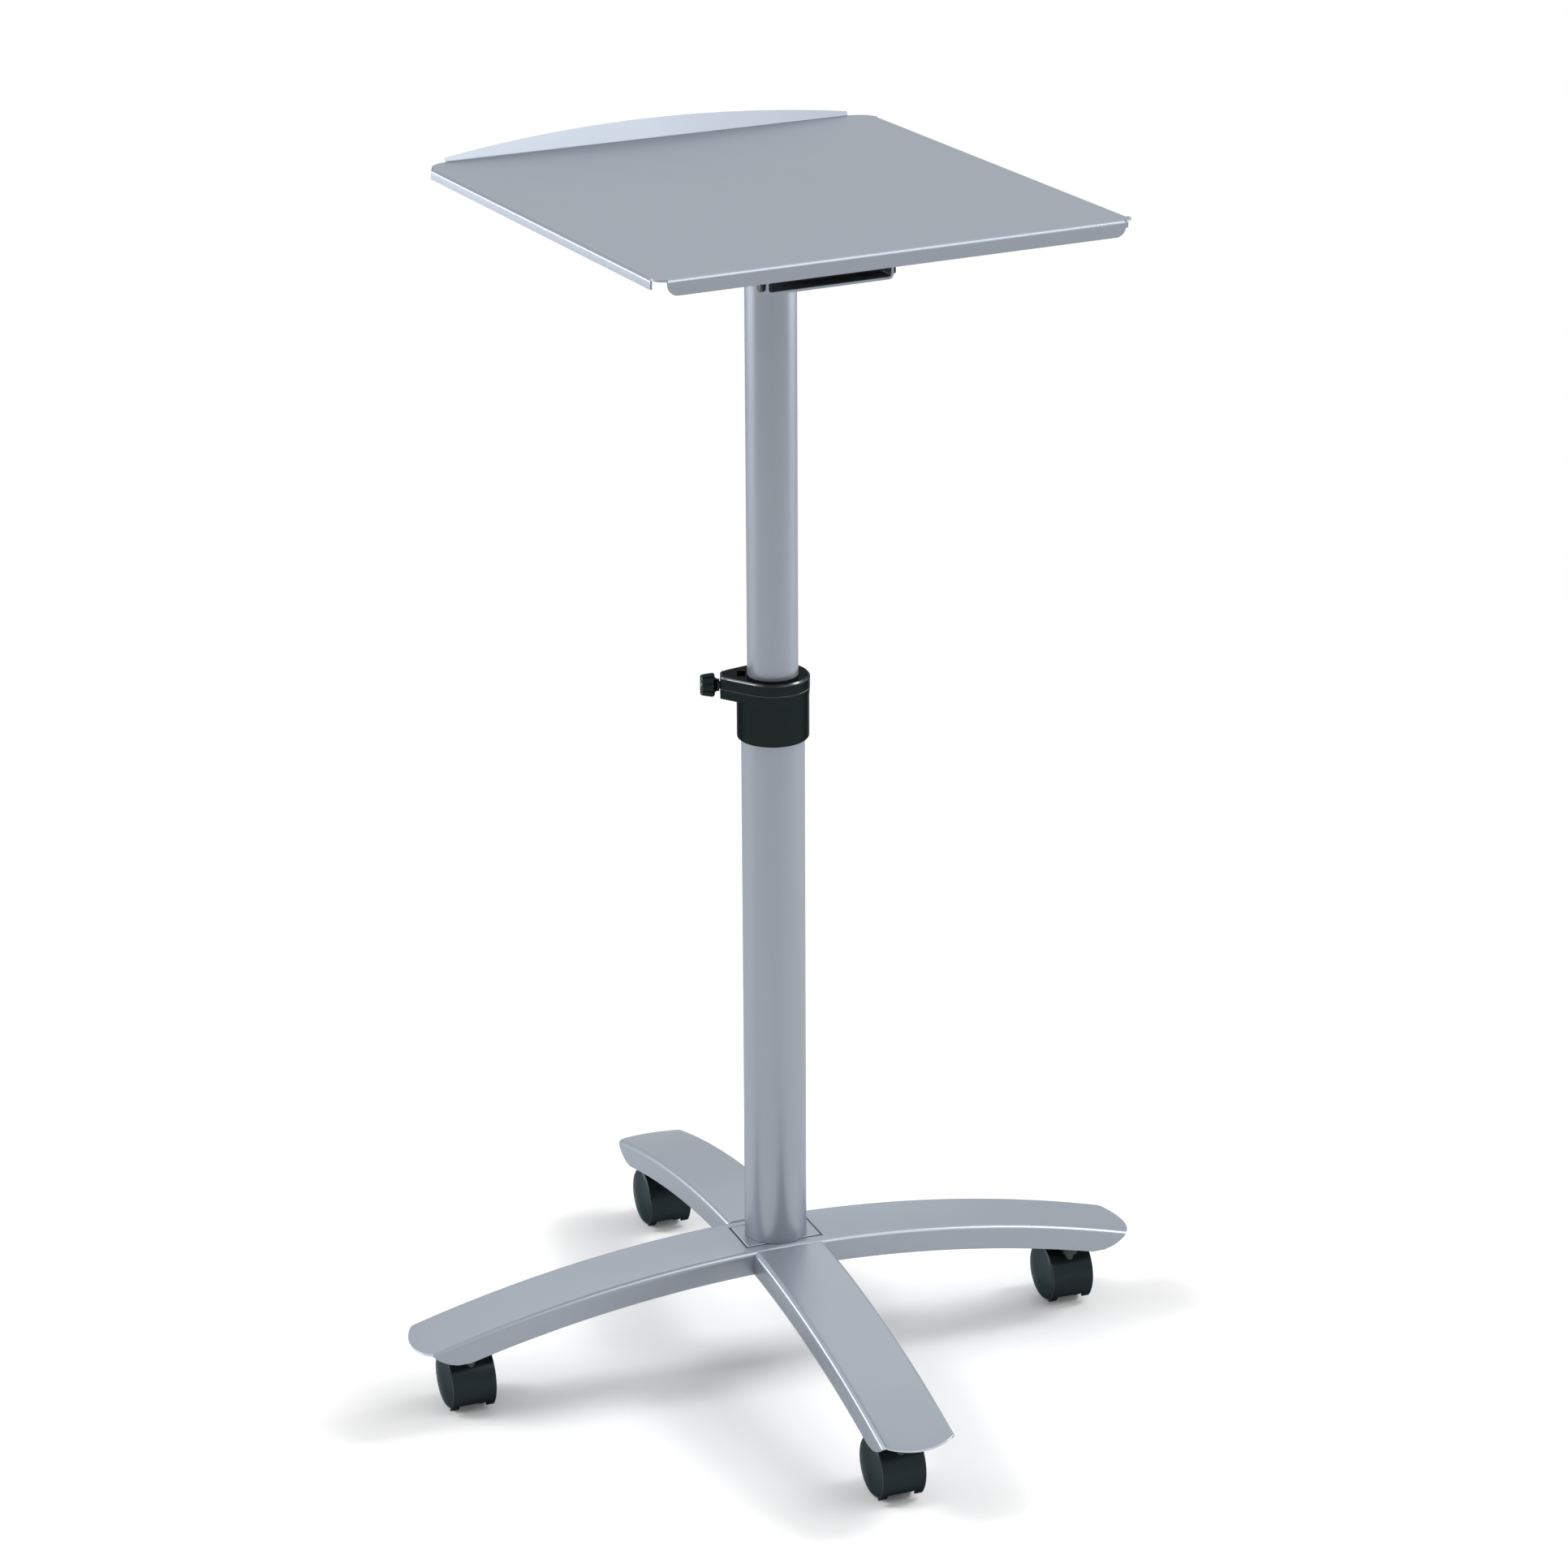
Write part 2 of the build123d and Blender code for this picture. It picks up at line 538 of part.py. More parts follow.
# Castor stem with its ring, standing on the hood's seat
wheel_centre = (CASTOR_TRAIL, WHEEL_RADIUS)
seat_height = WHEEL_RADIUS + sqrt(HOOD_RADIUS**2 - CASTOR_TRAIL**2)
ring_foot = seat_height + STOP_GAP
with BuildPart() as castor_stem:
    with BuildSketch(Plane.XY.offset(seat_height - STEM_DEPTH)):
        Circle(STEM_RADIUS)
    extrude(amount=bridge_top - seat_height + STEM_DEPTH)
    with BuildSketch(Plane.XY.offset(ring_foot)):
        Circle(STEM_RING_RADIUS)
    extrude(amount=STEM_RING_HEIGHT)

# Castor hood: a curved cover over the wheels' tops and fronts, on a web between them
front_sweep = HOOD_FRONT_ANGLE - HOOD_REAR_ANGLE
cheek_sweep = HOOD_CHEEK_ANGLE - HOOD_REAR_ANGLE
hood_inner_radius = HOOD_RADIUS - HOOD_WALL
with BuildPart() as castor_hood:
    with BuildSketch(Plane.YZ):
        with BuildLine():
            web_arc = CenterArc(wheel_centre, HOOD_RADIUS, HOOD_REAR_ANGLE, front_sweep)
            Polyline(web_arc @ 1, wheel_centre, web_arc @ 0)
        make_face()
        with Locations(wheel_centre):
            Circle(HUB_RADIUS)
    extrude(amount=WEB_WIDTH / 2, both=True)
    with BuildSketch(Plane.YZ):
        with BuildLine():
            outer_arc = CenterArc(wheel_centre, HOOD_RADIUS, HOOD_REAR_ANGLE, cheek_sweep)
            inner_arc = CenterArc(wheel_centre, hood_inner_radius, HOOD_REAR_ANGLE, cheek_sweep)
            Line(outer_arc @ 0, inner_arc @ 0)
            Line(outer_arc @ 1, inner_arc @ 1)
        make_face()
    extrude(amount=HOOD_WIDTH / 2, both=True)
    with BuildSketch(Plane.YZ):
        with BuildLine():
            notch_arc = CenterArc(wheel_centre, 2 * HOOD_RADIUS, HOOD_FRONT_ANGLE, 90)
            Polyline(notch_arc @ 1, wheel_centre, notch_arc @ 0)
        make_face()
        with Locations(wheel_centre):
            Circle(hood_inner_radius - HOOD_WALL, mode=Mode.SUBTRACT)
    extrude(amount=HOOD_NOTCH_WIDTH / 2, both=True, mode=Mode.SUBTRACT)
    with BuildSketch(Plane.XY.offset(seat_height)):
        Circle(STEM_RING_RADIUS + STEM_RING_GAP)
    extrude(amount=HOOD_TOP, mode=Mode.SUBTRACT)
    with BuildSketch(Plane.XY.offset(seat_height)):
        Circle(STEM_RADIUS + RUNNING_FIT)
    extrude(amount=-STEM_DEPTH - STOP_GAP, mode=Mode.SUBTRACT)
    with BuildSketch(Plane.YZ):
        with Locations(wheel_centre):
            Circle(AXLE_RADIUS + SEAT_FIT)
    extrude(amount=WEB_WIDTH, both=True, mode=Mode.SUBTRACT)

# Castor axle through the web, reaching into both wheels
wheel_inner = WEB_WIDTH / 2 + WEB_GAP
with BuildPart() as castor_axle:
    with BuildSketch(Plane.YZ):
        with Locations(wheel_centre):
            Circle(AXLE_RADIUS)
    extrude(amount=wheel_inner + AXLE_GRIP, both=True)

# Right-hand wheel: a turned disc with a rounded shoulder and a domed outer face
wheel_outer = wheel_inner + WHEEL_WIDTH
shoulder_start = wheel_outer - WHEEL_DOME - WHEEL_SHOULDER
face_edge = (wheel_outer - WHEEL_DOME, WHEEL_RADIUS - WHEEL_SHOULDER)
dome_radius = (face_edge[1] ** 2 + WHEEL_DOME**2) / (2 * WHEEL_DOME)
dome_angle = degrees(asin(face_edge[1] / dome_radius))
wheel_plane = Plane(origin=(0, CASTOR_TRAIL, WHEEL_RADIUS), x_dir=(1, 0, 0), z_dir=(0, -1, 0))
with BuildPart() as castor_wheel:
    with BuildSketch(wheel_plane):
        with BuildLine():
            bore = AXLE_RADIUS + RUNNING_FIT
            bore_end = wheel_inner + AXLE_GRIP + STOP_GAP
            Polyline(
                (bore_end, 0),
                (bore_end, bore),
                (wheel_inner, bore),
                (wheel_inner, WHEEL_RADIUS),
                (shoulder_start, WHEEL_RADIUS),
            )
            CenterArc((shoulder_start, face_edge[1]), WHEEL_SHOULDER, 90, -90)
            CenterArc((wheel_outer - dome_radius, 0), dome_radius, 0, dome_angle)
            Line((wheel_outer, 0), (bore_end, 0))
        make_face()
    revolve(axis=Axis(origin=(0, CASTOR_TRAIL, WHEEL_RADIUS), direction=(1, 0, 0)))

# One castor at each arm's end, all trailing the same way
for place, angle in (("right", 0), ("rear", 90), ("left", 180), ("front", 270)):
    spot = Location((CASTOR_REACH * cos(radians(angle)), CASTOR_REACH * sin(radians(angle)), 0))
    save(castor_bridge.part.rotate(Axis.Z, angle), f"{place}_castor_bridge")
    save(castor_stem.part.moved(spot), f"{place}_castor_stem")
    save(castor_hood.part.moved(spot), f"{place}_castor_hood")
    save(castor_axle.part.moved(spot), f"{place}_castor_axle")
    save(castor_wheel.part.moved(spot), f"{place}_castor_wheel_a")
    save(castor_wheel.part.mirror(Plane.YZ).moved(spot), f"{place}_castor_wheel_b")
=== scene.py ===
"""Visible pieces, finishes and studio of a rolling stand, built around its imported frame."""

import json
import math

import bmesh
import bpy
from bpy.props import FloatProperty, FloatVectorProperty, IntProperty, PointerProperty
from bpy.types import Operator, Panel, PropertyGroup
from mathutils import Matrix, Vector


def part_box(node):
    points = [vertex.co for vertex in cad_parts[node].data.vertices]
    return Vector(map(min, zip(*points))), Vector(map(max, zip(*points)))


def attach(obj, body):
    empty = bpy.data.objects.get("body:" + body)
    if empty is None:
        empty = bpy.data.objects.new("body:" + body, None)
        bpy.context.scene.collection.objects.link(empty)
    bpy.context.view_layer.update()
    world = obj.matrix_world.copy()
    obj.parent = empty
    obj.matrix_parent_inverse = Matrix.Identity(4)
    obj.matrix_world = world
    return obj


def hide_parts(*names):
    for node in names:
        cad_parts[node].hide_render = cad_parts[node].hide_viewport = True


bl_info = {
    "name": "Rolling stand",
    "version": (1, 0, 0),
    "blender": (4, 5, 0),
    "location": "View3D > Sidebar > Stand",
    "description": "Dresses a stand on four castors with a telescopic column and a tilting tray",
    "category": "Object",
}

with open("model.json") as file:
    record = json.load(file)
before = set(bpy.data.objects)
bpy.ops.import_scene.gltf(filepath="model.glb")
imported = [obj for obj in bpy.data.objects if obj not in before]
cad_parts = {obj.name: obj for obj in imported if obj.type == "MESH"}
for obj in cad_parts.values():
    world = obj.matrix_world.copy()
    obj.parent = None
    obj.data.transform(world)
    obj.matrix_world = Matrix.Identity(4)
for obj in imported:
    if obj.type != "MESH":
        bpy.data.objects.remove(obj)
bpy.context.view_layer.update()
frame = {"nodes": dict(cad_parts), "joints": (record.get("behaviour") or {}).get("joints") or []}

# Castors in the frame, by the arm that carries them
CASTOR_PLACES = ("right", "rear", "left", "front")

# How finely round shapes and long stretches are divided
TURN_STEPS = 96
CIRCLE_STEPS = 60
WASHER_STEPS = 48
HEX_SIDES = 6
BEND_STEPS = 6
CORNER_STEPS = 4
SHORT_STEPS = 8
ROW_STEPS = 12
ARCH_STEPS = 40
SWEEP_STEPS = 24
FLANGE_STEPS = 5
WINDOW_STEPS = 10
HOOD_STEPS = 60
WEB_STEPS = 48
HUB_STEPS = 20
DOME_STEPS = 16
COLLAR_STEPS = 84
REAR_STEPS = 14
LIP_STEPS = 48
REAR_CORNER_STEPS = 10
WALL_STEPS = 4

# Distances within which points count as one, or as level
SAME_POINT = 1e-7
WELD_REACH = 1e-6
LEVEL_REACH = 1e-5

# Rounding of edges, from the finest to the softest
FINE_EDGE = 0.0003
EASED_EDGE = 0.0005

# Fits, as they are in the frame
SEAT_FIT = 0.00005
RUNNING_FIT = 0.0001
NUT_GAP = 0.0002

# Castor details
WEB_GAP = 0.001
HUB_RADIUS = 0.009
SEAT_RADIUS = 0.009
WHEEL_DOME = 0.0025
WHEEL_SHOULDER = 0.0045
RIM_ROUND = 0.0008
BORE_DEPTH = 0.0073
BORE_RADIUS = 0.0031
HUB_CLEAR = 8  # degrees between the hub and the ends of the web's fan
NOTCH_OVERRUN = 20  # degrees by which the notch runs past the cheeks

# Clamp details
LUG_CORNER = 0.002
LUG_MERGE = 0.0012
COLLAR_CHAMFER = 0.0015
CHAMFER_ROWS = ((0, 1.1), (0.1, 0.9), (0.9, 0.1), (1.1, 0))  # shares inwards and down, tight at both edges
GROOVE_SHARE = 0.8  # of the rim's step, below the parting groove
FOOT_ROUND = 0.0025
NECK_LENGTH = 0.0035
NECK_RADIUS = 0.005
NECK_WAIST = (0.45, 0.95)  # shares of the neck's length and radius
NECK_FLARE = 1.2  # share of the neck's radius where it meets the knob
FLARE_LOBES = 0.1  # share of the lobes' depth at the flare
KNOB_ROUND = 0.0022
KNOB_TAPER = 0.89
KNOB_DISH = 0.0008
DISH_EDGE = 0.62  # shares of the knob's radius
DISH_FLOOR = 0.5
DISH_LOBES = 0.5  # share of the lobes' depth at the dish's edge
LOBE_POWER = 4  # a higher power narrows the grooves between the lobes
HIGHLIGHT_ROWS = 3  # rows of the knob's outer corner in the lighter corner colour, a painted highlight

# Tray detail
LEAST_LIP = 1.05  # share of its bend that the lip keeps at its ends

# Small fasteners: width across the flats, height of the head, radius and thickness of the washer
PLATE_SCREW = (0.01, 0.004, 0.0062, 0.0012)
STEM_NUT = (0.016, 0.0055, 0.011, 0.0012)
CHANNEL_BOLT = (0.007, 0.0028, 0.0045, 0.0006)

# Places of the small screws and bolts
SCREW_INSET = 0.0075
BOLT_BACK = 0.0063
BOLT_RISE = 0.0057


# Measures taken from the frame

def joint_axis(name):
    """Axis of a joint of the frame."""
    return next(joint["axis"] for joint in frame["joints"] if joint["name"] == name)


def turned_box(node, turn):
    """Lowest and highest corner of a CAD node in axes turned about the column."""
    back = Matrix.Rotation(-turn, 3, "Z")
    points = [back @ vertex.co for vertex in frame["nodes"][node].data.vertices]
    low = Vector([min(point[axis] for point in points) for axis in range(3)])
    high = Vector([max(point[axis] for point in points) for axis in range(3)])
    return low, high


TILT_AXIS = joint_axis("tray_tilt")
HEAD_TURN = math.atan2(-TILT_AXIS[1], -TILT_AXIS[0])
CLAMP_AXIS = joint_axis("clamp_turn")
CLAMP_TURN = math.atan2(CLAMP_AXIS[1], CLAMP_AXIS[0])
BEAM_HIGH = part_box("cross_beam")[1]
CROWN = BEAM_HIGH.z
ARM_TIP = BEAM_HIGH.x
ARM_HALF = BEAM_HIGH.y


# Settings that a user would change

def length_setting(name, description, default):
    """Size in metres."""
    return FloatProperty(name=name, description=description, default=default, unit="LENGTH")


def angle_setting(name, description, default):
    """Angle with its default in degrees."""
    return FloatProperty(name=name, description=description, default=math.radians(default), unit="ROTATION")


def colour_setting(name, description, default):
    """Colour of a finish."""
    return FloatVectorProperty(name=name, description=description, default=default, subtype="COLOR")


def power_setting(name, description, default):
    """Power of a lamp in watts."""
    return FloatProperty(name=name, description=description, default=default, unit="POWER")


def level_setting(name, description, default):
    """Plain number, such as a strength or a share."""
    return FloatProperty(name=name, description=description, default=default)


class StandSizes(PropertyGroup):
    """Sizes of the visible pieces that the frame's boxes don't give."""

    sheet_round: length_setting("Sheet edge", "Rounding of a cut sheet edge", 0.0007)
    arch_radius: length_setting("Arch", "Radius of the base's arched top", 1.1)
    arm_depth: length_setting("Arm depth", "Height of an arm's channel", 0.02)
    arm_sheet: length_setting("Arm sheet", "Thickness of the arms' sheet", 0.002)
    arm_bend: length_setting("Arm bend", "Outer radius of an arm's bends", 0.0045)
    tip_bulge: length_setting("Tip bulge", "Rise of the rounded tip over its corners", 0.011)
    flange_lead: length_setting("Flange lead", "Flange top beyond the tip's corners", 0.002)
    flange_sweep: length_setting("Flange sweep", "Flange foot behind the tip's corners", 0.03)
    flange_sag: length_setting("Flange sag", "Bulge of a flange's swept end", 0.0045)
    window_gap: length_setting("Window gap", "Gap round the foot plate", 0.0015)
    tube_wall: length_setting("Tube wall", "Wall of both tubes", 0.002)
    rim_height: length_setting("Collar rim", "Height of the rim round the collar's top", 0.0098)
    rim_step: length_setting("Rim step", "How far the rim stands out", 0.0006)
    lug_height: length_setting("Lug height", "Height of the collar's lug", 0.018)
    lug_end: length_setting("Lug end", "Width of the lug's end", 0.014)
    knob_lobes: IntProperty(name="Knob lobes", description="Lobes round the knob", default=6, min=3)
    lobe_depth: length_setting("Lobe depth", "Depth between the knob's lobes", 0.0011)
    channel_sheet: length_setting("Channel sheet", "Thickness of the head channel", 0.002)
    channel_bend: length_setting("Channel bend", "Outer radius of the channel's bends", 0.004)
    channel_rear_round: length_setting("Channel rear", "Rounding of the walls at the hinge", 0.026)
    channel_front_round: length_setting("Channel front", "Rounding of the walls at the front", 0.005)
    tray_sheet: length_setting("Tray sheet", "Thickness of the tray", 0.0015)
    tray_bend: length_setting("Tray bend", "Outer radius of the tray's bends", 0.003)
    side_flange: length_setting("Side flange", "Depth of the tray's side flanges", 0.0085)
    side_front_inset: length_setting("Side front", "Side flange from the front edge", 0.011)
    side_rear_inset: length_setting("Side rear", "Side flange from the rear edge", 0.017)
    front_flange: length_setting("Front flange", "Depth of the tray's front flange", 0.012)
    front_inset: length_setting("Front inset", "Front flange from the side edges", 0.0085)
    front_round: length_setting("Front round", "Rounding of the front flange's ends", 0.008)
    front_corner: length_setting("Front corner", "Radius of the tray's front corners", 0.01)
    rear_corner: length_setting("Rear corner", "Radius of the tray's rear corners", 0.02)
    lip_inset: length_setting("Lip inset", "Rear lip from the side edges", 0.0195)
    lip_end: length_setting("Lip end", "Height of the rear lip's ends", 0.003)
    lip_lean: angle_setting("Lip lean", "How far the rear lip leans back", 25)
    hood_wall: length_setting("Hood wall", "Wall of a castor's hood", 0.0018)
    hood_round: length_setting("Hood edge", "Rounding of a hood's long edges", 0.0008)
    hood_rear: angle_setting("Hood rear", "Where a hood starts, up from the rear", 70)
    hood_front: angle_setting("Hood front", "Where a hood's middle ends", 213)
    hood_notch: length_setting("Hood notch", "Width of a hood's open middle", 0.023)


class StandFinish(PropertyGroup):
    """Colours of the finishes."""

    paint: colour_setting("Paint", "Silver grey powder coat", (0.318, 0.35, 0.396))
    # Lighter than the paint: a painted highlight along the cut edges
    edge: colour_setting("Edge", "Paint on the sheets' cut edges", (0.52, 0.56, 0.6))
    plastic: colour_setting("Plastic", "Moulded black plastic", (0.0155, 0.022, 0.0215))
    # Lighter than the plastic: a painted highlight on moulded corners
    corner: colour_setting("Corner", "Glossy corners of mouldings", (0.058, 0.063, 0.063))
    hood: colour_setting("Hood", "Plastic of the castors' hoods", (0.02, 0.0285, 0.0315))
    wheel: colour_setting("Wheel", "Wheel plastic", (0.05, 0.066, 0.072))
    enamel: colour_setting("Enamel", "Black paint of the saddle", (0.006, 0.007, 0.008))
    steel: colour_setting("Steel", "Zinc-plated steel", (0.05, 0.055, 0.055))
    bush: colour_setting("Bush", "Plastic of the guide bush", (0.62, 0.62, 0.58))
    dust: colour_setting("Dust", "Settled dust", (0.46, 0.46, 0.45))


class StandLight(PropertyGroup):
    """Levels of the studio light."""

    sky: level_setting("Sky", "Level of the surrounding light", 0.38)
    right: level_setting("Right", "Light from the upper right", 1.36)
    left: level_setting("Left", "Light from the upper left", 1.24)
    core: level_setting("Core", "Share of the overhead light in its bright core", 0.6)
    rear: level_setting("Rear", "Light from the upper rear", 0.2)
    sides: power_setting("Sides", "Power of each soft box at the sides", 85)
    front: power_setting("Front", "Power of the soft box in front", 24)
    floor: FloatProperty(name="Floor", description="Reflectance of the floor", default=0.93, max=1)


# Shader node groups shared by the finishes

GRAIN_DEPTH = 0.0002
DUST_FALLOFF = 3  # a higher power keeps the dust to flatter faces

# Colour sockets of the mix node
MIX_FIRST = 6
MIX_SECOND = 7
MIX_RESULT = 2


def new_group(name, inputs, outputs):
    """Empty shader node group with its sockets; returns the group, its input and its output node."""
    group = bpy.data.node_groups.new(name, "ShaderNodeTree")
    for label, kind, value in inputs:
        socket = group.interface.new_socket(name=label, in_out="INPUT", socket_type=kind)
        socket.default_value = value
    for label, kind in outputs:
        group.interface.new_socket(name=label, in_out="OUTPUT", socket_type=kind)
    return group, group.nodes.new("NodeGroupInput"), group.nodes.new("NodeGroupOutput")


def add_noise(tree, scale_from, detail, roughness):
    """Noise in the object's own coordinates, its scale taken from a socket."""
    place = tree.nodes.new("ShaderNodeTexCoord")
    noise = tree.nodes.new("ShaderNodeTexNoise")
    noise.inputs["Detail"].default_value = detail
    noise.inputs["Roughness"].default_value = roughness
    tree.links.new(place.outputs["Object"], noise.inputs["Vector"])
    tree.links.new(scale_from, noise.inputs["Scale"])
    return noise.outputs["Fac"]


def feed(tree, socket, value):
    """Links a socket to another one, or sets it to a number."""
    if isinstance(value, bpy.types.NodeSocket):
        tree.links.new(value, socket)
    else:
        socket.default_value = value


def add_range(tree, value, low, high):
    """Maps a value from 0..1 to low..high; low and high are numbers or sockets."""
    node = tree.nodes.new("ShaderNodeMapRange")
    tree.links.new(value, node.inputs["Value"])
    feed(tree, node.inputs["To Min"], low)
    feed(tree, node.inputs["To Max"], high)
    return node.outputs["Result"]


def add_math(tree, operation, first, second):
    """Math node on two sockets or numbers."""
    node = tree.nodes.new("ShaderNodeMath")
    node.operation = operation
    feed(tree, node.inputs[0], first)
    feed(tree, node.inputs[1], second)
    return node.outputs["Value"]


def add_mix(tree, factor, first, second):
    """Colour mix of two colour sockets by a factor socket."""
    node = tree.nodes.new("ShaderNodeMix")
    node.data_type = "RGBA"
    tree.links.new(factor, node.inputs["Factor"])
    tree.links.new(first, node.inputs[MIX_FIRST])
    tree.links.new(second, node.inputs[MIX_SECOND])
    return node.outputs[MIX_RESULT]


def grain_group():
    """Fine grain of a coat or a moulding over broad, faint changes of tone."""
    group, source, sink = new_group(
        "surface_grain",
        [
            ("Colour", "NodeSocketColor", (0.5, 0.5, 0.5, 1)),
            ("Dark Colour", "NodeSocketColor", (0.4, 0.4, 0.4, 1)),
            ("Fine Scale", "NodeSocketFloat", 900),
            ("Broad Scale", "NodeSocketFloat", 9),
            ("Roughness", "NodeSocketFloat", 0.4),
            ("Roughness Spread", "NodeSocketFloat", 0.08),
        ],
        [
            ("Colour", "NodeSocketColor"),
            ("Roughness", "NodeSocketFloat"),
            ("Height", "NodeSocketFloat"),
        ],
    )
    fine = add_noise(group, source.outputs["Fine Scale"], detail=2, roughness=0.5)
    broad = add_noise(group, source.outputs["Broad Scale"], detail=4, roughness=0.55)
    speckle = add_range(group, fine, low=0.25, high=0.75)
    tone = add_math(group, "MULTIPLY", add_range(group, broad, low=0.2, high=1.1), speckle)
    colour = add_mix(group, tone, source.outputs["Colour"], source.outputs["Dark Colour"])
    low = add_math(group, "SUBTRACT", source.outputs["Roughness"], source.outputs["Roughness Spread"])
    high = add_math(group, "ADD", source.outputs["Roughness"], source.outputs["Roughness Spread"])
    group.links.new(colour, sink.inputs["Colour"])
    group.links.new(add_range(group, broad, low, high), sink.inputs["Roughness"])
    group.links.new(fine, sink.inputs["Height"])
    return group


def dust_group():
    """Thin dust that settles on faces that look up, thicker in cloudy patches."""
    group, source, sink = new_group(
        "settled_dust",
        [
            ("Colour", "NodeSocketColor", (0.5, 0.5, 0.5, 1)),
            ("Dust", "NodeSocketColor", (0.5, 0.5, 0.5, 1)),
            ("Roughness", "NodeSocketFloat", 0.4),
            ("Amount", "NodeSocketFloat", 0.1),
            ("Scale", "NodeSocketFloat", 40),
        ],
        [("Colour", "NodeSocketColor"), ("Roughness", "NodeSocketFloat")],
    )
    face = group.nodes.new("ShaderNodeNewGeometry")
    parts = group.nodes.new("ShaderNodeSeparateXYZ")
    group.links.new(face.outputs["Normal"], parts.inputs["Vector"])
    upward = add_math(group, "POWER", add_math(group, "MAXIMUM", parts.outputs["Z"], 0), DUST_FALLOFF)
    patches = add_noise(group, source.outputs["Scale"], detail=5, roughness=0.6)
    cloud = add_range(group, patches, low=0.2, high=1)
    mask = add_math(group, "MULTIPLY", add_math(group, "MULTIPLY", upward, cloud), source.outputs["Amount"])
    colour = add_mix(group, mask, source.outputs["Colour"], source.outputs["Dust"])
    group.links.new(colour, sink.inputs["Colour"])
    group.links.new(add_math(group, "ADD", source.outputs["Roughness"], mask), sink.inputs["Roughness"])
    return group


def shared_group(name, build):
    """A node group that is built once."""
    return bpy.data.node_groups.get(name) or build()


def place_group(tree, group, values):
    """Puts a node group into a material with its own values."""
    node = tree.nodes.new("ShaderNodeGroup")
    node.node_tree = group
    for label, value in values.items():
        node.inputs[label].default_value = value
    return node


def finish_material(name, setting, constants, shade, fine, roughness, uneven, bump, dust):
    """Material in a colour of the settings: grain, then dust, then the shader with its plain constants."""
    if name in bpy.data.materials:
        return bpy.data.materials[name]
    finish = bpy.context.scene.stand_finish
    colour = getattr(finish, setting)
    material = bpy.data.materials.new(name)
    material.use_nodes = True
    tree = material.node_tree
    shader = tree.nodes["Principled BSDF"]
    grain = place_group(
        tree,
        shared_group("surface_grain", grain_group),
        {
            "Colour": (*colour, 1),
            "Dark Colour": (*[channel * shade for channel in colour], 1),
            "Fine Scale": fine,
            "Roughness": roughness,
            "Roughness Spread": uneven,
        },
    )
    film = place_group(
        tree,
        shared_group("settled_dust", dust_group),
        {"Dust": (*finish.dust, 1), "Amount": dust},
    )
    relief = tree.nodes.new("ShaderNodeBump")
    relief.inputs["Strength"].default_value = bump
    relief.inputs["Distance"].default_value = GRAIN_DEPTH
    tree.links.new(grain.outputs["Colour"], film.inputs["Colour"])
    tree.links.new(grain.outputs["Roughness"], film.inputs["Roughness"])
    tree.links.new(grain.outputs["Height"], relief.inputs["Height"])
    tree.links.new(film.outputs["Colour"], shader.inputs["Base Color"])
    tree.links.new(film.outputs["Roughness"], shader.inputs["Roughness"])
    tree.links.new(relief.outputs["Normal"], shader.inputs["Normal"])
    for label, value in constants.items():
        shader.inputs[label].default_value = value
    return material


# Shine of the finishes; the tint dims the pale backdrop that flat tops mirror at a low angle
PAINT_SHINE = {"Metallic": 0.62, "IOR": 1.3, "Specular Tint": (0.5, 0.53, 0.56, 1)}
PLASTIC_SHINE = {"Metallic": 0.9, "IOR": 1.3, "Specular Tint": (0.36, 0.38, 0.38, 1)}
STEEL_SHINE = {"Metallic": 1}
ENAMEL_SHINE = {"IOR": 1.2}
PLAIN_SHINE = {}


def grey_paint():
    """Silver powder coat with a satin shine."""
    return finish_material(
        "grey_powder_coat", "paint", PAINT_SHINE,
        shade=0.88, fine=1400, roughness=0.3, uneven=0.04, bump=0.025, dust=0.03,
    )


def edge_highlight_paint():
    """The same coat on cut edges, painted lighter as a highlight along them."""
    return finish_material(
        "edge_powder_coat", "edge", PAINT_SHINE,
        shade=0.92, fine=1400, roughness=0.3, uneven=0.04, bump=0.025, dust=0.03,
    )


def black_plastic():
    """Moulded black plastic with a soft sheen."""
    return finish_material(
        "moulded_black", "plastic", PLASTIC_SHINE,
        shade=0.7, fine=1100, roughness=0.2, uneven=0.04, bump=0.04, dust=0.004,
    )


def glossy_corner():
    """Black plastic with a lighter colour on corners, a painted highlight, and a little real gloss from its
    lower roughness.
    """
    return finish_material(
        "glossy_corner", "corner", PLASTIC_SHINE,
        shade=0.8, fine=1100, roughness=0.17, uneven=0.03, bump=0.03, dust=0.004,
    )


def hood_plastic():
    """Black plastic of the castors' hoods, a little bluer."""
    return finish_material(
        "hood_plastic", "hood", PLASTIC_SHINE,
        shade=0.7, fine=1000, roughness=0.28, uneven=0.05, bump=0.05, dust=0.005,
    )


def wheel_plastic():
    """Slightly paler plastic of the wheels."""
    return finish_material(
        "wheel_plastic", "wheel", PLASTIC_SHINE,
        shade=0.75, fine=900, roughness=0.32, uneven=0.06, bump=0.06, dust=0.01,
    )


def black_enamel():
    """Flat black paint inside the head."""
    return finish_material(
        "black_enamel", "enamel", ENAMEL_SHINE,
        shade=0.7, fine=1300, roughness=0.5, uneven=0.08, bump=0.08, dust=0.01,
    )


def plated_steel():
    """Zinc-plated steel of screws, nuts and pins."""
    return finish_material(
        "plated_steel", "steel", STEEL_SHINE,
        shade=0.8, fine=2200, roughness=0.32, uneven=0.08, bump=0.04, dust=0.03,
    )


def bush_plastic():
    """Pale slippery plastic of the guide bush."""
    return finish_material(
        "bush_plastic", "bush", PLAIN_SHINE,
        shade=0.9, fine=1000, roughness=0.42, uneven=0.05, bump=0.05, dust=0.02,
    )


# Mesh helpers

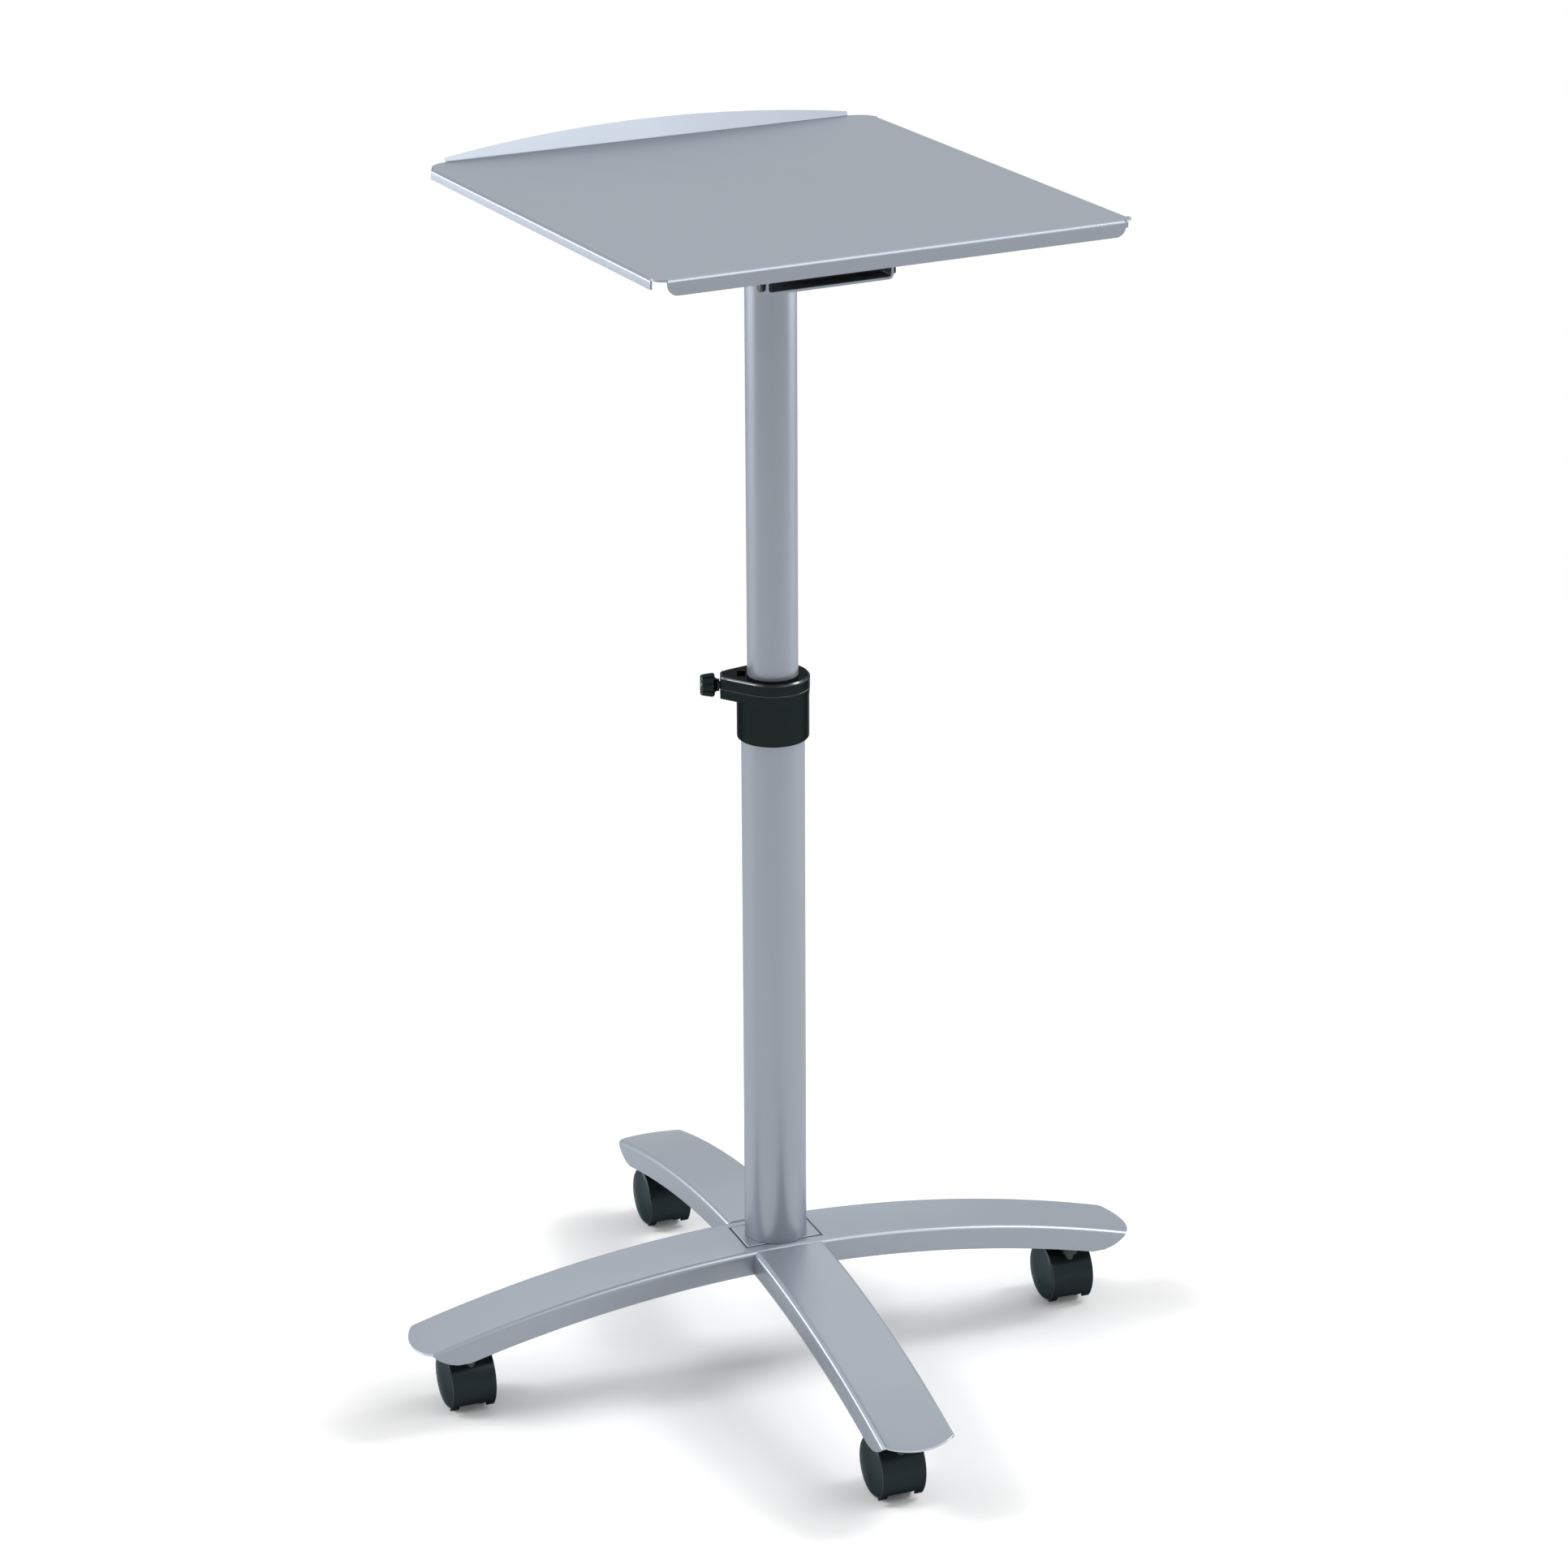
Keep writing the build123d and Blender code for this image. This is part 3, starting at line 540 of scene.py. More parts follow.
def arc(centre, radius, start, end, steps):
    """Points of a circular arc in a plane, from start to end in degrees."""
    angles = [math.radians(start + (end - start) * step / steps) for step in range(steps + 1)]
    return [(centre[0] + radius * math.cos(a), centre[1] + radius * math.sin(a)) for a in angles]


def spread(start, end, steps):
    """Evenly spaced values from start to end."""
    return [start + (end - start) * step / steps for step in range(steps + 1)]


def round_steps(radius, steps):
    """Distances into a rounded end, closest together at its start."""
    return [radius * (1 - math.cos(angle)) for angle in spread(0, math.pi / 2, steps)]


def round_drop(radius, away):
    """How far a rounded edge drops at a distance from its end."""
    past = max(0, radius - away)
    return radius - math.sqrt(max(0, radius**2 - past**2))


def bow_radius(half, rise):
    """Radius of an arc from half its chord and its rise."""
    return (half**2 + rise**2) / (2 * rise)


def circle(radius, sides):
    """Corners of a regular outline round the origin."""
    return arc((0, 0), radius, 0, 360, sides)[:-1]


def join_rows(mesh, rows, closed=False):
    """Quads between rows of points, facing along the points' direction crossed with the rows'."""
    lines = [[mesh.verts.new(point) for point in row] for row in rows]
    for low, high in zip(lines, lines[1:]):
        count = len(low)
        for here in range(count if closed else count - 1):
            there = (here + 1) % count
            mesh.faces.new((low[here], low[there], high[there], high[here]))
    return lines


def paint_highlight_rows(mesh, first, count, around):
    """Gives the faces of some joined rows the piece's second material, whose lighter colour is a painted
    highlight; the rows are closed.
    """
    mesh.faces.ensure_lookup_table()
    for face in mesh.faces[first * around:(first + count) * around]:
        face.material_index = 1


def turn_profile(mesh, profile, place, closed):
    """Turns (radius, height) points about Z in an empty mesh and moves the solid by a matrix."""
    verts = [mesh.verts.new((radius, 0, height)) for radius, height in profile]
    pairs = list(zip(verts, verts[1:]))
    if closed:
        pairs.append((verts[-1], verts[0]))
    edges = [mesh.edges.new(pair) for pair in pairs]
    bmesh.ops.spin(
        mesh, geom=verts + edges, axis=(0, 0, 1), cent=(0, 0, 0), angle=2 * math.pi, steps=TURN_STEPS
    )
    bmesh.ops.remove_doubles(mesh, verts=mesh.verts, dist=SAME_POINT)
    bmesh.ops.transform(mesh, matrix=place, verts=mesh.verts)
    bmesh.ops.recalc_face_normals(mesh, faces=mesh.faces)


def close_ends(mesh, lines):
    """Caps the first and the last of closed rows and turns all faces outwards."""
    mesh.faces.new(list(reversed(lines[0])))
    mesh.faces.new(lines[-1])
    bmesh.ops.recalc_face_normals(mesh, faces=mesh.faces)


def add_prism(mesh, outline, low, high, place):
    """Closed prism over an outline in X and Y, between two heights, moved by a matrix."""
    rows = [[place @ Vector((x, y, height)) for x, y in outline] for height in (low, high)]
    close_ends(mesh, join_rows(mesh, rows, closed=True))


def mesh_object(name, mesh):
    """Object in the scene from a bmesh, which is used up."""
    data = bpy.data.meshes.new(name)
    mesh.to_mesh(data)
    mesh.free()
    made = bpy.data.objects.new(name, data)
    bpy.context.scene.collection.objects.link(made)
    return made


def new_piece(name, mesh, body, material, replaced=()):
    """Smooth piece riding on a body and standing for the CAD nodes it replaces."""
    piece = mesh_object(name, mesh)
    piece.data.shade_smooth()
    piece.data.materials.append(material)
    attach(piece, body)
    if replaced:
        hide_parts(*replaced)
    return piece


def thicken(piece, thickness, edge=None):
    """Gives a sheet its thickness behind its outer skin, and its cut edges a finish of their own."""
    shell = piece.modifiers.new("thickness", "SOLIDIFY")
    if edge:
        piece.data.materials.append(edge)
        shell.material_offset_rim = 1
    shell.thickness = thickness
    shell.offset = -1
    shell.use_even_offset = True
    shell.use_quality_normals = True


def round_edges(piece, width, segments=2, angle=40):
    """Rounds sharp edges and keeps flat faces flat in the shading."""
    bevel = piece.modifiers.new("edges", "BEVEL")
    bevel.width = width
    bevel.segments = segments
    bevel.limit_method = "ANGLE"
    bevel.angle_limit = math.radians(angle)
    bevel.use_clamp_overlap = True
    normals = piece.modifiers.new("normals", "WEIGHTED_NORMAL")
    normals.keep_sharp = False


def dress_node(node, material, width):
    """Finishes a CAD node as it is, with its sharp edges rounded."""
    piece = frame["nodes"][node]
    piece.data.materials.clear()
    piece.data.materials.append(material)
    weld = piece.modifiers.new("weld", "WELD")
    weld.merge_threshold = WELD_REACH
    round_edges(piece, width)


def cut_away(piece, cutters):
    """Cuts closed bmesh cutters out of a piece's own mesh."""
    for cutter in cutters:
        tool = mesh_object("cutter", cutter)
        cut = piece.modifiers.new("cut", "BOOLEAN")
        cut.object = tool
        cut.solver = "EXACT"
        bpy.context.view_layer.update()
        result = bpy.data.meshes.new_from_object(piece.evaluated_get(bpy.context.evaluated_depsgraph_get()))
        piece.modifiers.remove(cut)
        spent = (piece.data, tool.data)
        piece.data = result
        bpy.data.objects.remove(tool)
        for data in spent:
            bpy.data.meshes.remove(data)


def hex_head(mesh, place, across, height, washer, thickness):
    """Hexagon head on a round washer, standing along the matrix's Z."""
    add_prism(mesh, circle(across / math.sqrt(3), HEX_SIDES), thickness, thickness + height, place)
    add_prism(mesh, circle(washer, WASHER_STEPS), 0, thickness, place)


# Base of arched channels

def arch_height(sizes, reach, depth):
    """Height of the arched sheet at a distance from the column, some depth below its top."""
    radius = sizes.arch_radius - depth
    return CROWN - sizes.arch_radius + math.sqrt(radius**2 - reach**2)


def flange_end_points(sizes):
    """Points (depth, reach) of a flange's swept end, from its top to its foot."""
    corner = ARM_TIP - sizes.tip_bulge
    top = Vector((corner + sizes.flange_lead, 0))
    foot = Vector((corner - sizes.flange_sweep, 0))
    top.y = arch_height(sizes, top.x, 0)
    foot.y = arch_height(sizes, foot.x, sizes.arm_depth)
    middle = (top + foot) / 2
    half = (top - foot).length / 2
    out = Vector((top.y - foot.y, foot.x - top.x)).normalized()
    radius = bow_radius(half, sizes.flange_sag)
    centre = middle - out * (radius - sizes.flange_sag)
    points = []
    for share in spread(-1, 1, SWEEP_STEPS):
        along = middle + (foot - top) / 2 * share - centre
        point = centre + along.normalized() * radius
        above = point.y - CROWN + sizes.arch_radius
        points.append((sizes.arch_radius - math.hypot(point.x, above), point.x))
    return points


def arm_end(sizes, across, depth, swept):
    """Distance from the column at which the sheet ends, on the top or on a flange."""
    radius = bow_radius(ARM_HALF, sizes.tip_bulge)
    plan = ARM_TIP - radius + math.sqrt(radius**2 - across**2)
    if depth <= 0:
        return plan
    for (low, low_reach), (high, high_reach) in zip(swept, swept[1:]):
        if low <= depth <= high:
            share = (depth - low) / (high - low)
            return min(plan, low_reach + (high_reach - low_reach) * share)
    return min(plan, swept[-1][1])


def arm_profile(sizes, flat):
    """Points (across, depth) of an arm's outer skin, from one flange's foot to the other's."""
    bend = sizes.arm_bend
    side = [(ARM_HALF, depth) for depth in spread(sizes.arm_depth, bend, FLANGE_STEPS)[:-1]]
    side += [(ARM_HALF - bend + y, bend - z) for y, z in arc((0, 0), bend, 0, 90, BEND_STEPS)]
    left = [(-across, depth) for across, depth in side]
    return left + [(across, 0) for across in flat] + list(reversed(side))


def flat_rows(sizes, window_half):
    """Positions across an arm's flat top, with the window's edges among them."""
    edge = (ARM_HALF - sizes.arm_bend + window_half) / 2
    return [-edge] + spread(-window_half, window_half, ROW_STEPS) + [edge]


def build_beam(sizes):
    """Left and right arm in one, with the window for the foot plate."""
    plate_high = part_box("foot_plate")[1]
    plate = frame["nodes"]["foot_plate"].data
    top = [vertex.co for vertex in plate.vertices if vertex.co.z > plate_high.z - LEVEL_REACH]
    window_x = max(point.x for point in top) + sizes.window_gap
    window_y = max(point.y for point in top) + sizes.window_gap
    swept = flange_end_points(sizes)
    mesh = bmesh.new()
    rows = []
    for across, depth in arm_profile(sizes, flat_rows(sizes, window_y)):
        end = arm_end(sizes, across, depth, swept)
        outer = spread(window_x, end, ARCH_STEPS)
        inner = spread(-window_x, window_x, WINDOW_STEPS)
        reaches = [-reach for reach in reversed(outer)] + inner[1:-1] + outer
        rows.append([(reach, across, arch_height(sizes, reach, depth)) for reach in reaches])
    join_rows(mesh, rows)
    hole = []
    for face in mesh.faces:
        middle = face.calc_center_median()
        if abs(middle.x) < window_x and abs(middle.y) < window_y and middle.z > CROWN - sizes.arm_sheet:
            hole.append(face)
    bmesh.ops.delete(mesh, geom=hole, context="FACES")
    beam = new_piece("beam_sheet", mesh, "base", grey_paint(), ["cross_beam"])
    # Cut edges in the lighter coat: a painted highlight
    thicken(beam, sizes.arm_sheet, edge_highlight_paint())
    round_edges(beam, sizes.sheet_round)


def build_arm(sizes, place, angle):
    """Front or rear arm, butted against the beam's side."""
    turn = Matrix.Rotation(angle, 3, "Z")
    swept = flange_end_points(sizes)
    mesh = bmesh.new()
    rows = []
    for across, depth in arm_profile(sizes, flat_rows(sizes, ARM_HALF / 2)):
        end = arm_end(sizes, across, depth, swept)
        reaches = spread(ARM_HALF, end, ARCH_STEPS)
        rows.append([turn @ Vector((reach, across, arch_height(sizes, reach, depth))) for reach in reaches])
    join_rows(mesh, rows)
    arm = new_piece(f"{place}_arm_sheet", mesh, "base", grey_paint(), [f"{place}_arm"])
    # Cut edges in the lighter coat: a painted highlight
    thicken(arm, sizes.arm_sheet, edge_highlight_paint())
    round_edges(arm, sizes.sheet_round)


class STAND_OT_base(Operator):
    """Build the arched cross base with its foot plate and screws"""

    bl_idname = "stand.base"
    bl_label = "Base"

    def execute(self, context):
        sizes = context.scene.stand_sizes
        build_beam(sizes)
        build_arm(sizes, "front", math.radians(-90))
        build_arm(sizes, "rear", math.radians(90))
        dress_node("foot_plate", grey_paint(), sizes.sheet_round)
        low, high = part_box("foot_plate")
        mesh = bmesh.new()
        for x in (low.x + SCREW_INSET, high.x - SCREW_INSET):
            for y in (low.y + SCREW_INSET, high.y - SCREW_INSET):
                place = Matrix.Translation((x, y, low.z)) @ Matrix.Rotation(math.pi, 4, "X")
                hex_head(mesh, place, *PLATE_SCREW)
        screws = new_piece("foot_plate_screws", mesh, "base", plated_steel())
        round_edges(screws, FINE_EDGE)
        return {"FINISHED"}


# Castors

# Lays an outline on its side, so that its X runs along Y, its Y upwards and its height across
SIDEWAYS = Matrix(((0, 0, 1, 0), (1, 0, 0, 0), (0, 1, 0, 0), (0, 0, 0, 1)))


def hood_section(sizes, half, outer):
    """Points (across, radius) round the hood's wall, and the number of points of an outer corner."""
    rounded = sizes.hood_round
    inner = outer - sizes.hood_wall
    corner = arc((half - rounded, outer - rounded), rounded, 0, 90, CORNER_STEPS)
    flat = [(x, outer) for x in spread(half - rounded, rounded - half, SHORT_STEPS)[1:-1]]
    section = [(half, inner)] + corner + flat
    section += [(-x, radius) for x, radius in reversed(corner)] + [(-half, inner)]
    return section, len(corner)


def add_hood_wall(mesh, centre, section, corner_points, start, end):
    """Curved wall of the hood between two angles, whose outer corners get a lighter colour as a painted
    highlight.
    """
    rows = []
    for angle in spread(start, end, HOOD_STEPS):
        bearing = math.radians(angle)
        rows.append([
            centre + Vector((x, radius * math.cos(bearing), radius * math.sin(bearing)))
            for x, radius in section
        ])
    lines = join_rows(mesh, rows, closed=True)
    # In each row of faces the corners lie one face in from both ends
    around = len(section)
    # The corner faces take the second material, whose lighter colour is a painted highlight
    for index, face in enumerate(mesh.faces):
        if 1 <= min(index % around, around - 2 - index % around) < corner_points:
            face.material_index = 1
    close_ends(mesh, lines)


def build_hood(sizes, place):
    """Hood over both wheels with the web between them."""
    node = f"{place}_castor_hood"
    stem_low, stem_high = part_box(f"{place}_castor_stem")
    stem = (stem_low + stem_high) / 2
    wheel_low, wheel_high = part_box(f"{place}_castor_wheel_a")
    wheel = (wheel_low + wheel_high) / 2
    hood_low, hood_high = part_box(node)
    centre = Vector((stem.x, wheel.y, wheel.z))
    outer = hood_high.z - wheel.z
    inner = outer - sizes.hood_wall
    rear_end = math.degrees(sizes.hood_rear)
    front_end = math.degrees(sizes.hood_front)
    cheek_end = 180 + math.degrees(math.asin((wheel.z - hood_low.z) / outer))
    mesh = bmesh.new()
    section, corner_points = hood_section(sizes, (hood_high.x - hood_low.x) / 2, outer)
    add_hood_wall(mesh, centre, section, corner_points, rear_end, cheek_end)
    axle = Matrix.Translation(centre) @ SIDEWAYS
    web_half = min(abs(wheel_low.x - stem.x), abs(wheel_high.x - stem.x)) - WEB_GAP
    fan = arc((0, 0), (outer + inner) / 2, rear_end, front_end, WEB_STEPS)
    hub = arc((0, 0), HUB_RADIUS, front_end + HUB_CLEAR, rear_end + 360 - HUB_CLEAR, HUB_STEPS)
    add_prism(mesh, fan + hub, -web_half, web_half, axle)
    hood = new_piece(f"{place}_hood", mesh, f"{place}_castor", hood_plastic(), [node])
    # Second material: lighter corners, a painted highlight
    hood.data.materials.append(glossy_corner())
    seat = bmesh.new()
    seat_height = wheel.z + math.sqrt(outer**2 - (wheel.y - stem.y) ** 2)
    above_stem = Matrix.Translation((stem.x, stem.y, 0))
    add_prism(seat, circle(SEAT_RADIUS, CIRCLE_STEPS), seat_height, hood_high.z + outer, above_stem)
    notch = bmesh.new()
    notch_end = cheek_end + NOTCH_OVERRUN
    notch_half = sizes.hood_notch / 2
    wide = arc((0, 0), outer + sizes.hood_wall, front_end, notch_end, SHORT_STEPS)
    tight = arc((0, 0), inner - sizes.hood_wall, notch_end, front_end, SHORT_STEPS)
    add_prism(notch, wide + tight, -notch_half, notch_half, axle)
    cut_away(hood, [seat, notch])
    round_edges(hood, FINE_EDGE)


def build_wheel(place, letter):
    """Wheel with a rounded shoulder and a smooth domed face."""
    node = f"{place}_castor_wheel_{letter}"
    low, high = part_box(node)
    stem_low, stem_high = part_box(f"{place}_castor_stem")
    side = 1 if (low.x + high.x) / 2 > (stem_low.x + stem_high.x) / 2 else -1
    inner = low.x if side > 0 else high.x
    width = high.x - low.x
    radius = (high.z - low.z) / 2
    dome_edge = radius - WHEEL_SHOULDER
    dome_radius = bow_radius(dome_edge, WHEEL_DOME)
    dome_angle = math.degrees(math.asin(dome_edge / dome_radius))
    shoulder_start = width - WHEEL_DOME - WHEEL_SHOULDER
    shoulder = arc((dome_edge, shoulder_start), WHEEL_SHOULDER, 0, 90, BEND_STEPS)
    dome = [(y, width - dome_radius + x) for x, y in arc((0, 0), dome_radius, dome_angle, 0, DOME_STEPS)]
    profile = [(0, BORE_DEPTH), (BORE_RADIUS, BORE_DEPTH), (BORE_RADIUS, 0), (radius - RIM_ROUND, 0)]
    profile += arc((radius - RIM_ROUND, RIM_ROUND), RIM_ROUND, -90, 0, CORNER_STEPS)[1:]
    profile += shoulder + dome[1:-1] + [(0, width)]
    middle = (low + high) / 2
    across = Matrix.Rotation(math.radians(90 * side), 4, "Y")
    mesh = bmesh.new()
    turn_profile(mesh, profile, Matrix.Translation((inner, middle.y, middle.z)) @ across, closed=False)
    wheel = new_piece(
        f"{place}_wheel_{letter}", mesh, f"{place}_wheel_{letter}", wheel_plastic(), [node]
    )
    round_edges(wheel, FINE_EDGE)


class STAND_OT_castors(Operator):
    """Build the four twin-wheel castors with their stems and nuts"""

    bl_idname = "stand.castors"
    bl_label = "Castors"

    def execute(self, context):
        sizes = context.scene.stand_sizes
        for place in CASTOR_PLACES:
            build_hood(sizes, place)
            for letter in ("a", "b"):
                build_wheel(place, letter)
            dress_node(f"{place}_castor_bridge", grey_paint(), sizes.sheet_round)
            dress_node(f"{place}_castor_stem", plated_steel(), EASED_EDGE)
            dress_node(f"{place}_castor_axle", plated_steel(), FINE_EDGE)
            bridge_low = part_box(f"{place}_castor_bridge")[0]
            stem_low, stem_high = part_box(f"{place}_castor_stem")
            spot = (stem_low + stem_high) / 2
            mesh = bmesh.new()
            under = Matrix.Translation((spot.x, spot.y, bridge_low.z)) @ Matrix.Rotation(math.pi, 4, "X")
            hex_head(mesh, under, *STEM_NUT)
            nut = new_piece(f"{place}_stem_nut", mesh, "base", plated_steel())
            round_edges(nut, FINE_EDGE)
        return {"FINISHED"}


# Column

def build_tube(sizes, node, name, body):
    """Hollow tube with eased ends."""
    low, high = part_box(node)
    radius = high.x
    bore = radius - sizes.tube_wall
    mesh = bmesh.new()
    profile = [(radius, low.z), (radius, high.z), (bore, high.z), (bore, low.z)]
    turn_profile(mesh, profile, Matrix.Identity(4), closed=True)
    tube = new_piece(name, mesh, body, grey_paint(), [node])
    round_edges(tube, EASED_EDGE, segments=3)


class STAND_OT_column(Operator):
    """Build the telescopic column's tubes and its guide bush"""

    bl_idname = "stand.column"
    bl_label = "Column"

    def execute(self, context):
        sizes = context.scene.stand_sizes
        build_tube(sizes, "lower_tube", "lower_column", "base")
        build_tube(sizes, "upper_tube", "upper_column", "mast")
        dress_node("guide_bush", bush_plastic(), EASED_EDGE)
        return {"FINISHED"}


# Clamp

def collar_outline(radius, reach, end_width, corner):
    """Plan of the collar with its lug along X, as points round the column."""
    half = end_width / 2
    angle = math.atan2(half, reach) + math.acos(radius / math.hypot(reach, half))
    root = Vector((radius * math.cos(angle), radius * math.sin(angle)))
    tip = Vector((reach, half))
    slope = (tip - root).normalized()
    lean = math.degrees(math.atan2(slope.x, -slope.y))
    setback = corner / math.tan(math.radians(90 + lean) / 2)
    centre = (reach - corner, half - setback)
    rounded = arc(centre, corner, 0, lean, BEND_STEPS)
    side = [root.lerp(Vector(rounded[-1]), share) for share in spread(0, 1, ROW_STEPS)]
    upper = [Vector(point) for point in rounded] + list(reversed(side))[1:]
    lower = [Vector((point.x, -point.y)) for point in reversed(upper)]
    start = math.degrees(angle)
    back = [Vector(point) for point in arc((0, 0), radius, start, 360 - start, COLLAR_STEPS)]
    return upper + back[1:-1] + lower


def move_inwards(outline, distance):
    """A closed outline moved inwards; its points go round anticlockwise."""
    moved = []
    for before, point, after in zip(outline[-1:] + outline[:-1], outline, outline[1:] + outline[:1]):
        along = (after - before).normalized()
        moved.append(point - Vector((along.y, -along.x)) * distance)
    return moved


def nut_pocket(top):
    """Cutter for the nut's pocket in the lug, open at the top."""
    low, high = turned_box("clamp_nut", CLAMP_TURN)
    left, right = low.x - NUT_GAP, high.x + NUT_GAP
    near, far = low.y - NUT_GAP, high.y + NUT_GAP
    outline = [(left, near), (right, near), (right, far), (left, far)]
    pocket = bmesh.new()
    add_prism(pocket, outline, low.z, top + NUT_GAP, Matrix.Rotation(CLAMP_TURN, 4, "Z"))
    return pocket


def build_collar(sizes):
    """Clamp collar: sleeve, rim and lug, with a pocket for the nut."""
    low, high = turned_box("clamp_collar", CLAMP_TURN)
    tube_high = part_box("lower_tube")[1]
    mast_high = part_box("upper_tube")[1]
    radius = -low.x - sizes.rim_step
    plain = collar_outline(radius, high.x, sizes.lug_end, LUG_CORNER)
    sleeve = [point.normalized() * radius for point in plain]
    fit = [point.normalized() * (tube_high.x + SEAT_FIT) for point in plain]
    bore = [point.normalized() * (mast_high.x + RUNNING_FIT) for point in plain]
    lug_foot = high.z - sizes.lug_height
    rim_foot = high.z - sizes.rim_height
    step = sizes.rim_step
    side_end = high.x - 2 * LUG_CORNER

    def stand_out(distance):
        """The plain outline grown outwards, apart from the lug's flat end."""
        return [point + point.normalized() * distance if point.x < side_end else point for point in plain]

    top_corner = [
        (move_inwards(stand_out(step), COLLAR_CHAMFER * share), high.z - COLLAR_CHAMFER * drop)
        for share, drop in CHAMFER_ROWS
    ]
    foot_corner = [
        ([point.normalized() * (radius - FOOT_ROUND + out) for point in plain], low.z + FOOT_ROUND - down)
        for out, down in reversed(arc((0, 0), FOOT_ROUND, 0, 90, CORNER_STEPS))
    ]
    levels = foot_corner + [
        (sleeve, lug_foot - LUG_MERGE),
        (plain, lug_foot),
    ]
    groove_row = len(levels)
    levels += [
        (stand_out(step * GROOVE_SHARE), rim_foot - step),
        (plain, rim_foot),
        (stand_out(step), rim_foot + step),
    ]
    corner_row = len(levels)
    levels += top_corner + [
        (bore, high.z),
        (bore, tube_high.z),
        (fit, tube_high.z),
        (fit, low.z),
    ]
    turn = Matrix.Rotation(CLAMP_TURN, 4, "Z")
    mesh = bmesh.new()
    rows = [[turn @ Vector((*point, height)) for point in outline] for outline, height in levels]
    lines = join_rows(mesh, rows, closed=True)
    count = len(plain)
    # The groove's lower edge and the top chamfer get the lighter corner colour as painted highlight lines
    paint_highlight_rows(mesh, groove_row, 1, count)
    paint_highlight_rows(mesh, corner_row, len(top_corner) - 1, count)
    for here in range(count):
        there = (here + 1) % count
        mesh.faces.new((lines[-1][here], lines[-1][there], lines[0][there], lines[0][here]))
    bmesh.ops.recalc_face_normals(mesh, faces=mesh.faces)
    collar = new_piece("collar_moulding", mesh, "base", black_plastic(), ["clamp_collar"])
    # Second material: the lighter corner colour of the painted highlights
    collar.data.materials.append(glossy_corner())
    cut_away(collar, [nut_pocket(high.z)])
    round_edges(collar, FINE_EDGE, angle=50)


def knob_stations(radius, length):
    """Rings (place along the screw, radius, share of the lobes) of the knob, and the outer corner's first."""
    waist_along, waist_radius = NECK_WAIST
    neck = [
        (0, NECK_RADIUS, 0),
        (NECK_LENGTH * waist_along, NECK_RADIUS * waist_radius, 0),
        (NECK_LENGTH, NECK_RADIUS * NECK_FLARE, FLARE_LOBES),
    ]
    rounded = arc((0, 0), KNOB_ROUND, 0, 90, CORNER_STEPS)
    back = [(NECK_LENGTH + KNOB_ROUND - y, radius - KNOB_ROUND + x, 1) for x, y in reversed(rounded)]
    front = [(length - KNOB_ROUND + y, radius * KNOB_TAPER - KNOB_ROUND + x, 1) for x, y in rounded]
    dish = [(length, radius * DISH_EDGE, DISH_LOBES), (length - KNOB_DISH, radius * DISH_FLOOR, 0)]
    return neck + back + front + dish, len(neck + back)


def build_knob(sizes):
    """Lobed clamp knob on a narrow neck, narrowing outwards."""
    low, high = turned_box("clamp_knob", CLAMP_TURN)
    middle = (low.z + high.z) / 2
    stations, corner_row = knob_stations((high.z - low.z) / 2, high.x - low.x)
    mesh = bmesh.new()
    axle = Matrix.Rotation(CLAMP_TURN, 4, "Z") @ Matrix.Translation((low.x, 0, middle))
    rows = []
    for along, reach, lobed in stations:
        ring = []
        for angle in spread(0, 2 * math.pi, TURN_STEPS)[:-1]:
            groove = math.sin(sizes.knob_lobes * angle / 2) ** LOBE_POWER
            out = reach - sizes.lobe_depth * lobed * groove
            ring.append(axle @ Vector((along, out * math.cos(angle), out * math.sin(angle))))
        rows.append(ring)
    lines = join_rows(mesh, rows, closed=True)
    # The knob's outer corner gets the lighter corner colour as a painted highlight
    paint_highlight_rows(mesh, corner_row, HIGHLIGHT_ROWS, TURN_STEPS)
    close_ends(mesh, lines)
    knob = new_piece("knob_moulding", mesh, "clamp", black_plastic(), ["clamp_knob"])
    knob.data.materials.append(glossy_corner())
    round_edges(knob, FINE_EDGE, angle=35)


class STAND_OT_clamp(Operator):
    """Build the clamp collar with its nut, screw and knob"""

    bl_idname = "stand.clamp"
    bl_label = "Clamp"

    def execute(self, context):
        sizes = context.scene.stand_sizes
        build_collar(sizes)
        build_knob(sizes)
        dress_node("clamp_nut", plated_steel(), EASED_EDGE)
        dress_node("clamp_screw", plated_steel(), FINE_EDGE)
        return {"FINISHED"}


# Head

def wall_top(sizes, along, low, high):
    """Height of a channel wall's top edge, rounded down at both ends."""
    front_drop = round_drop(sizes.channel_front_round, along - low.y)
    rear_drop = round_drop(sizes.channel_rear_round, high.y - along)
    return high.z - front_drop - rear_drop


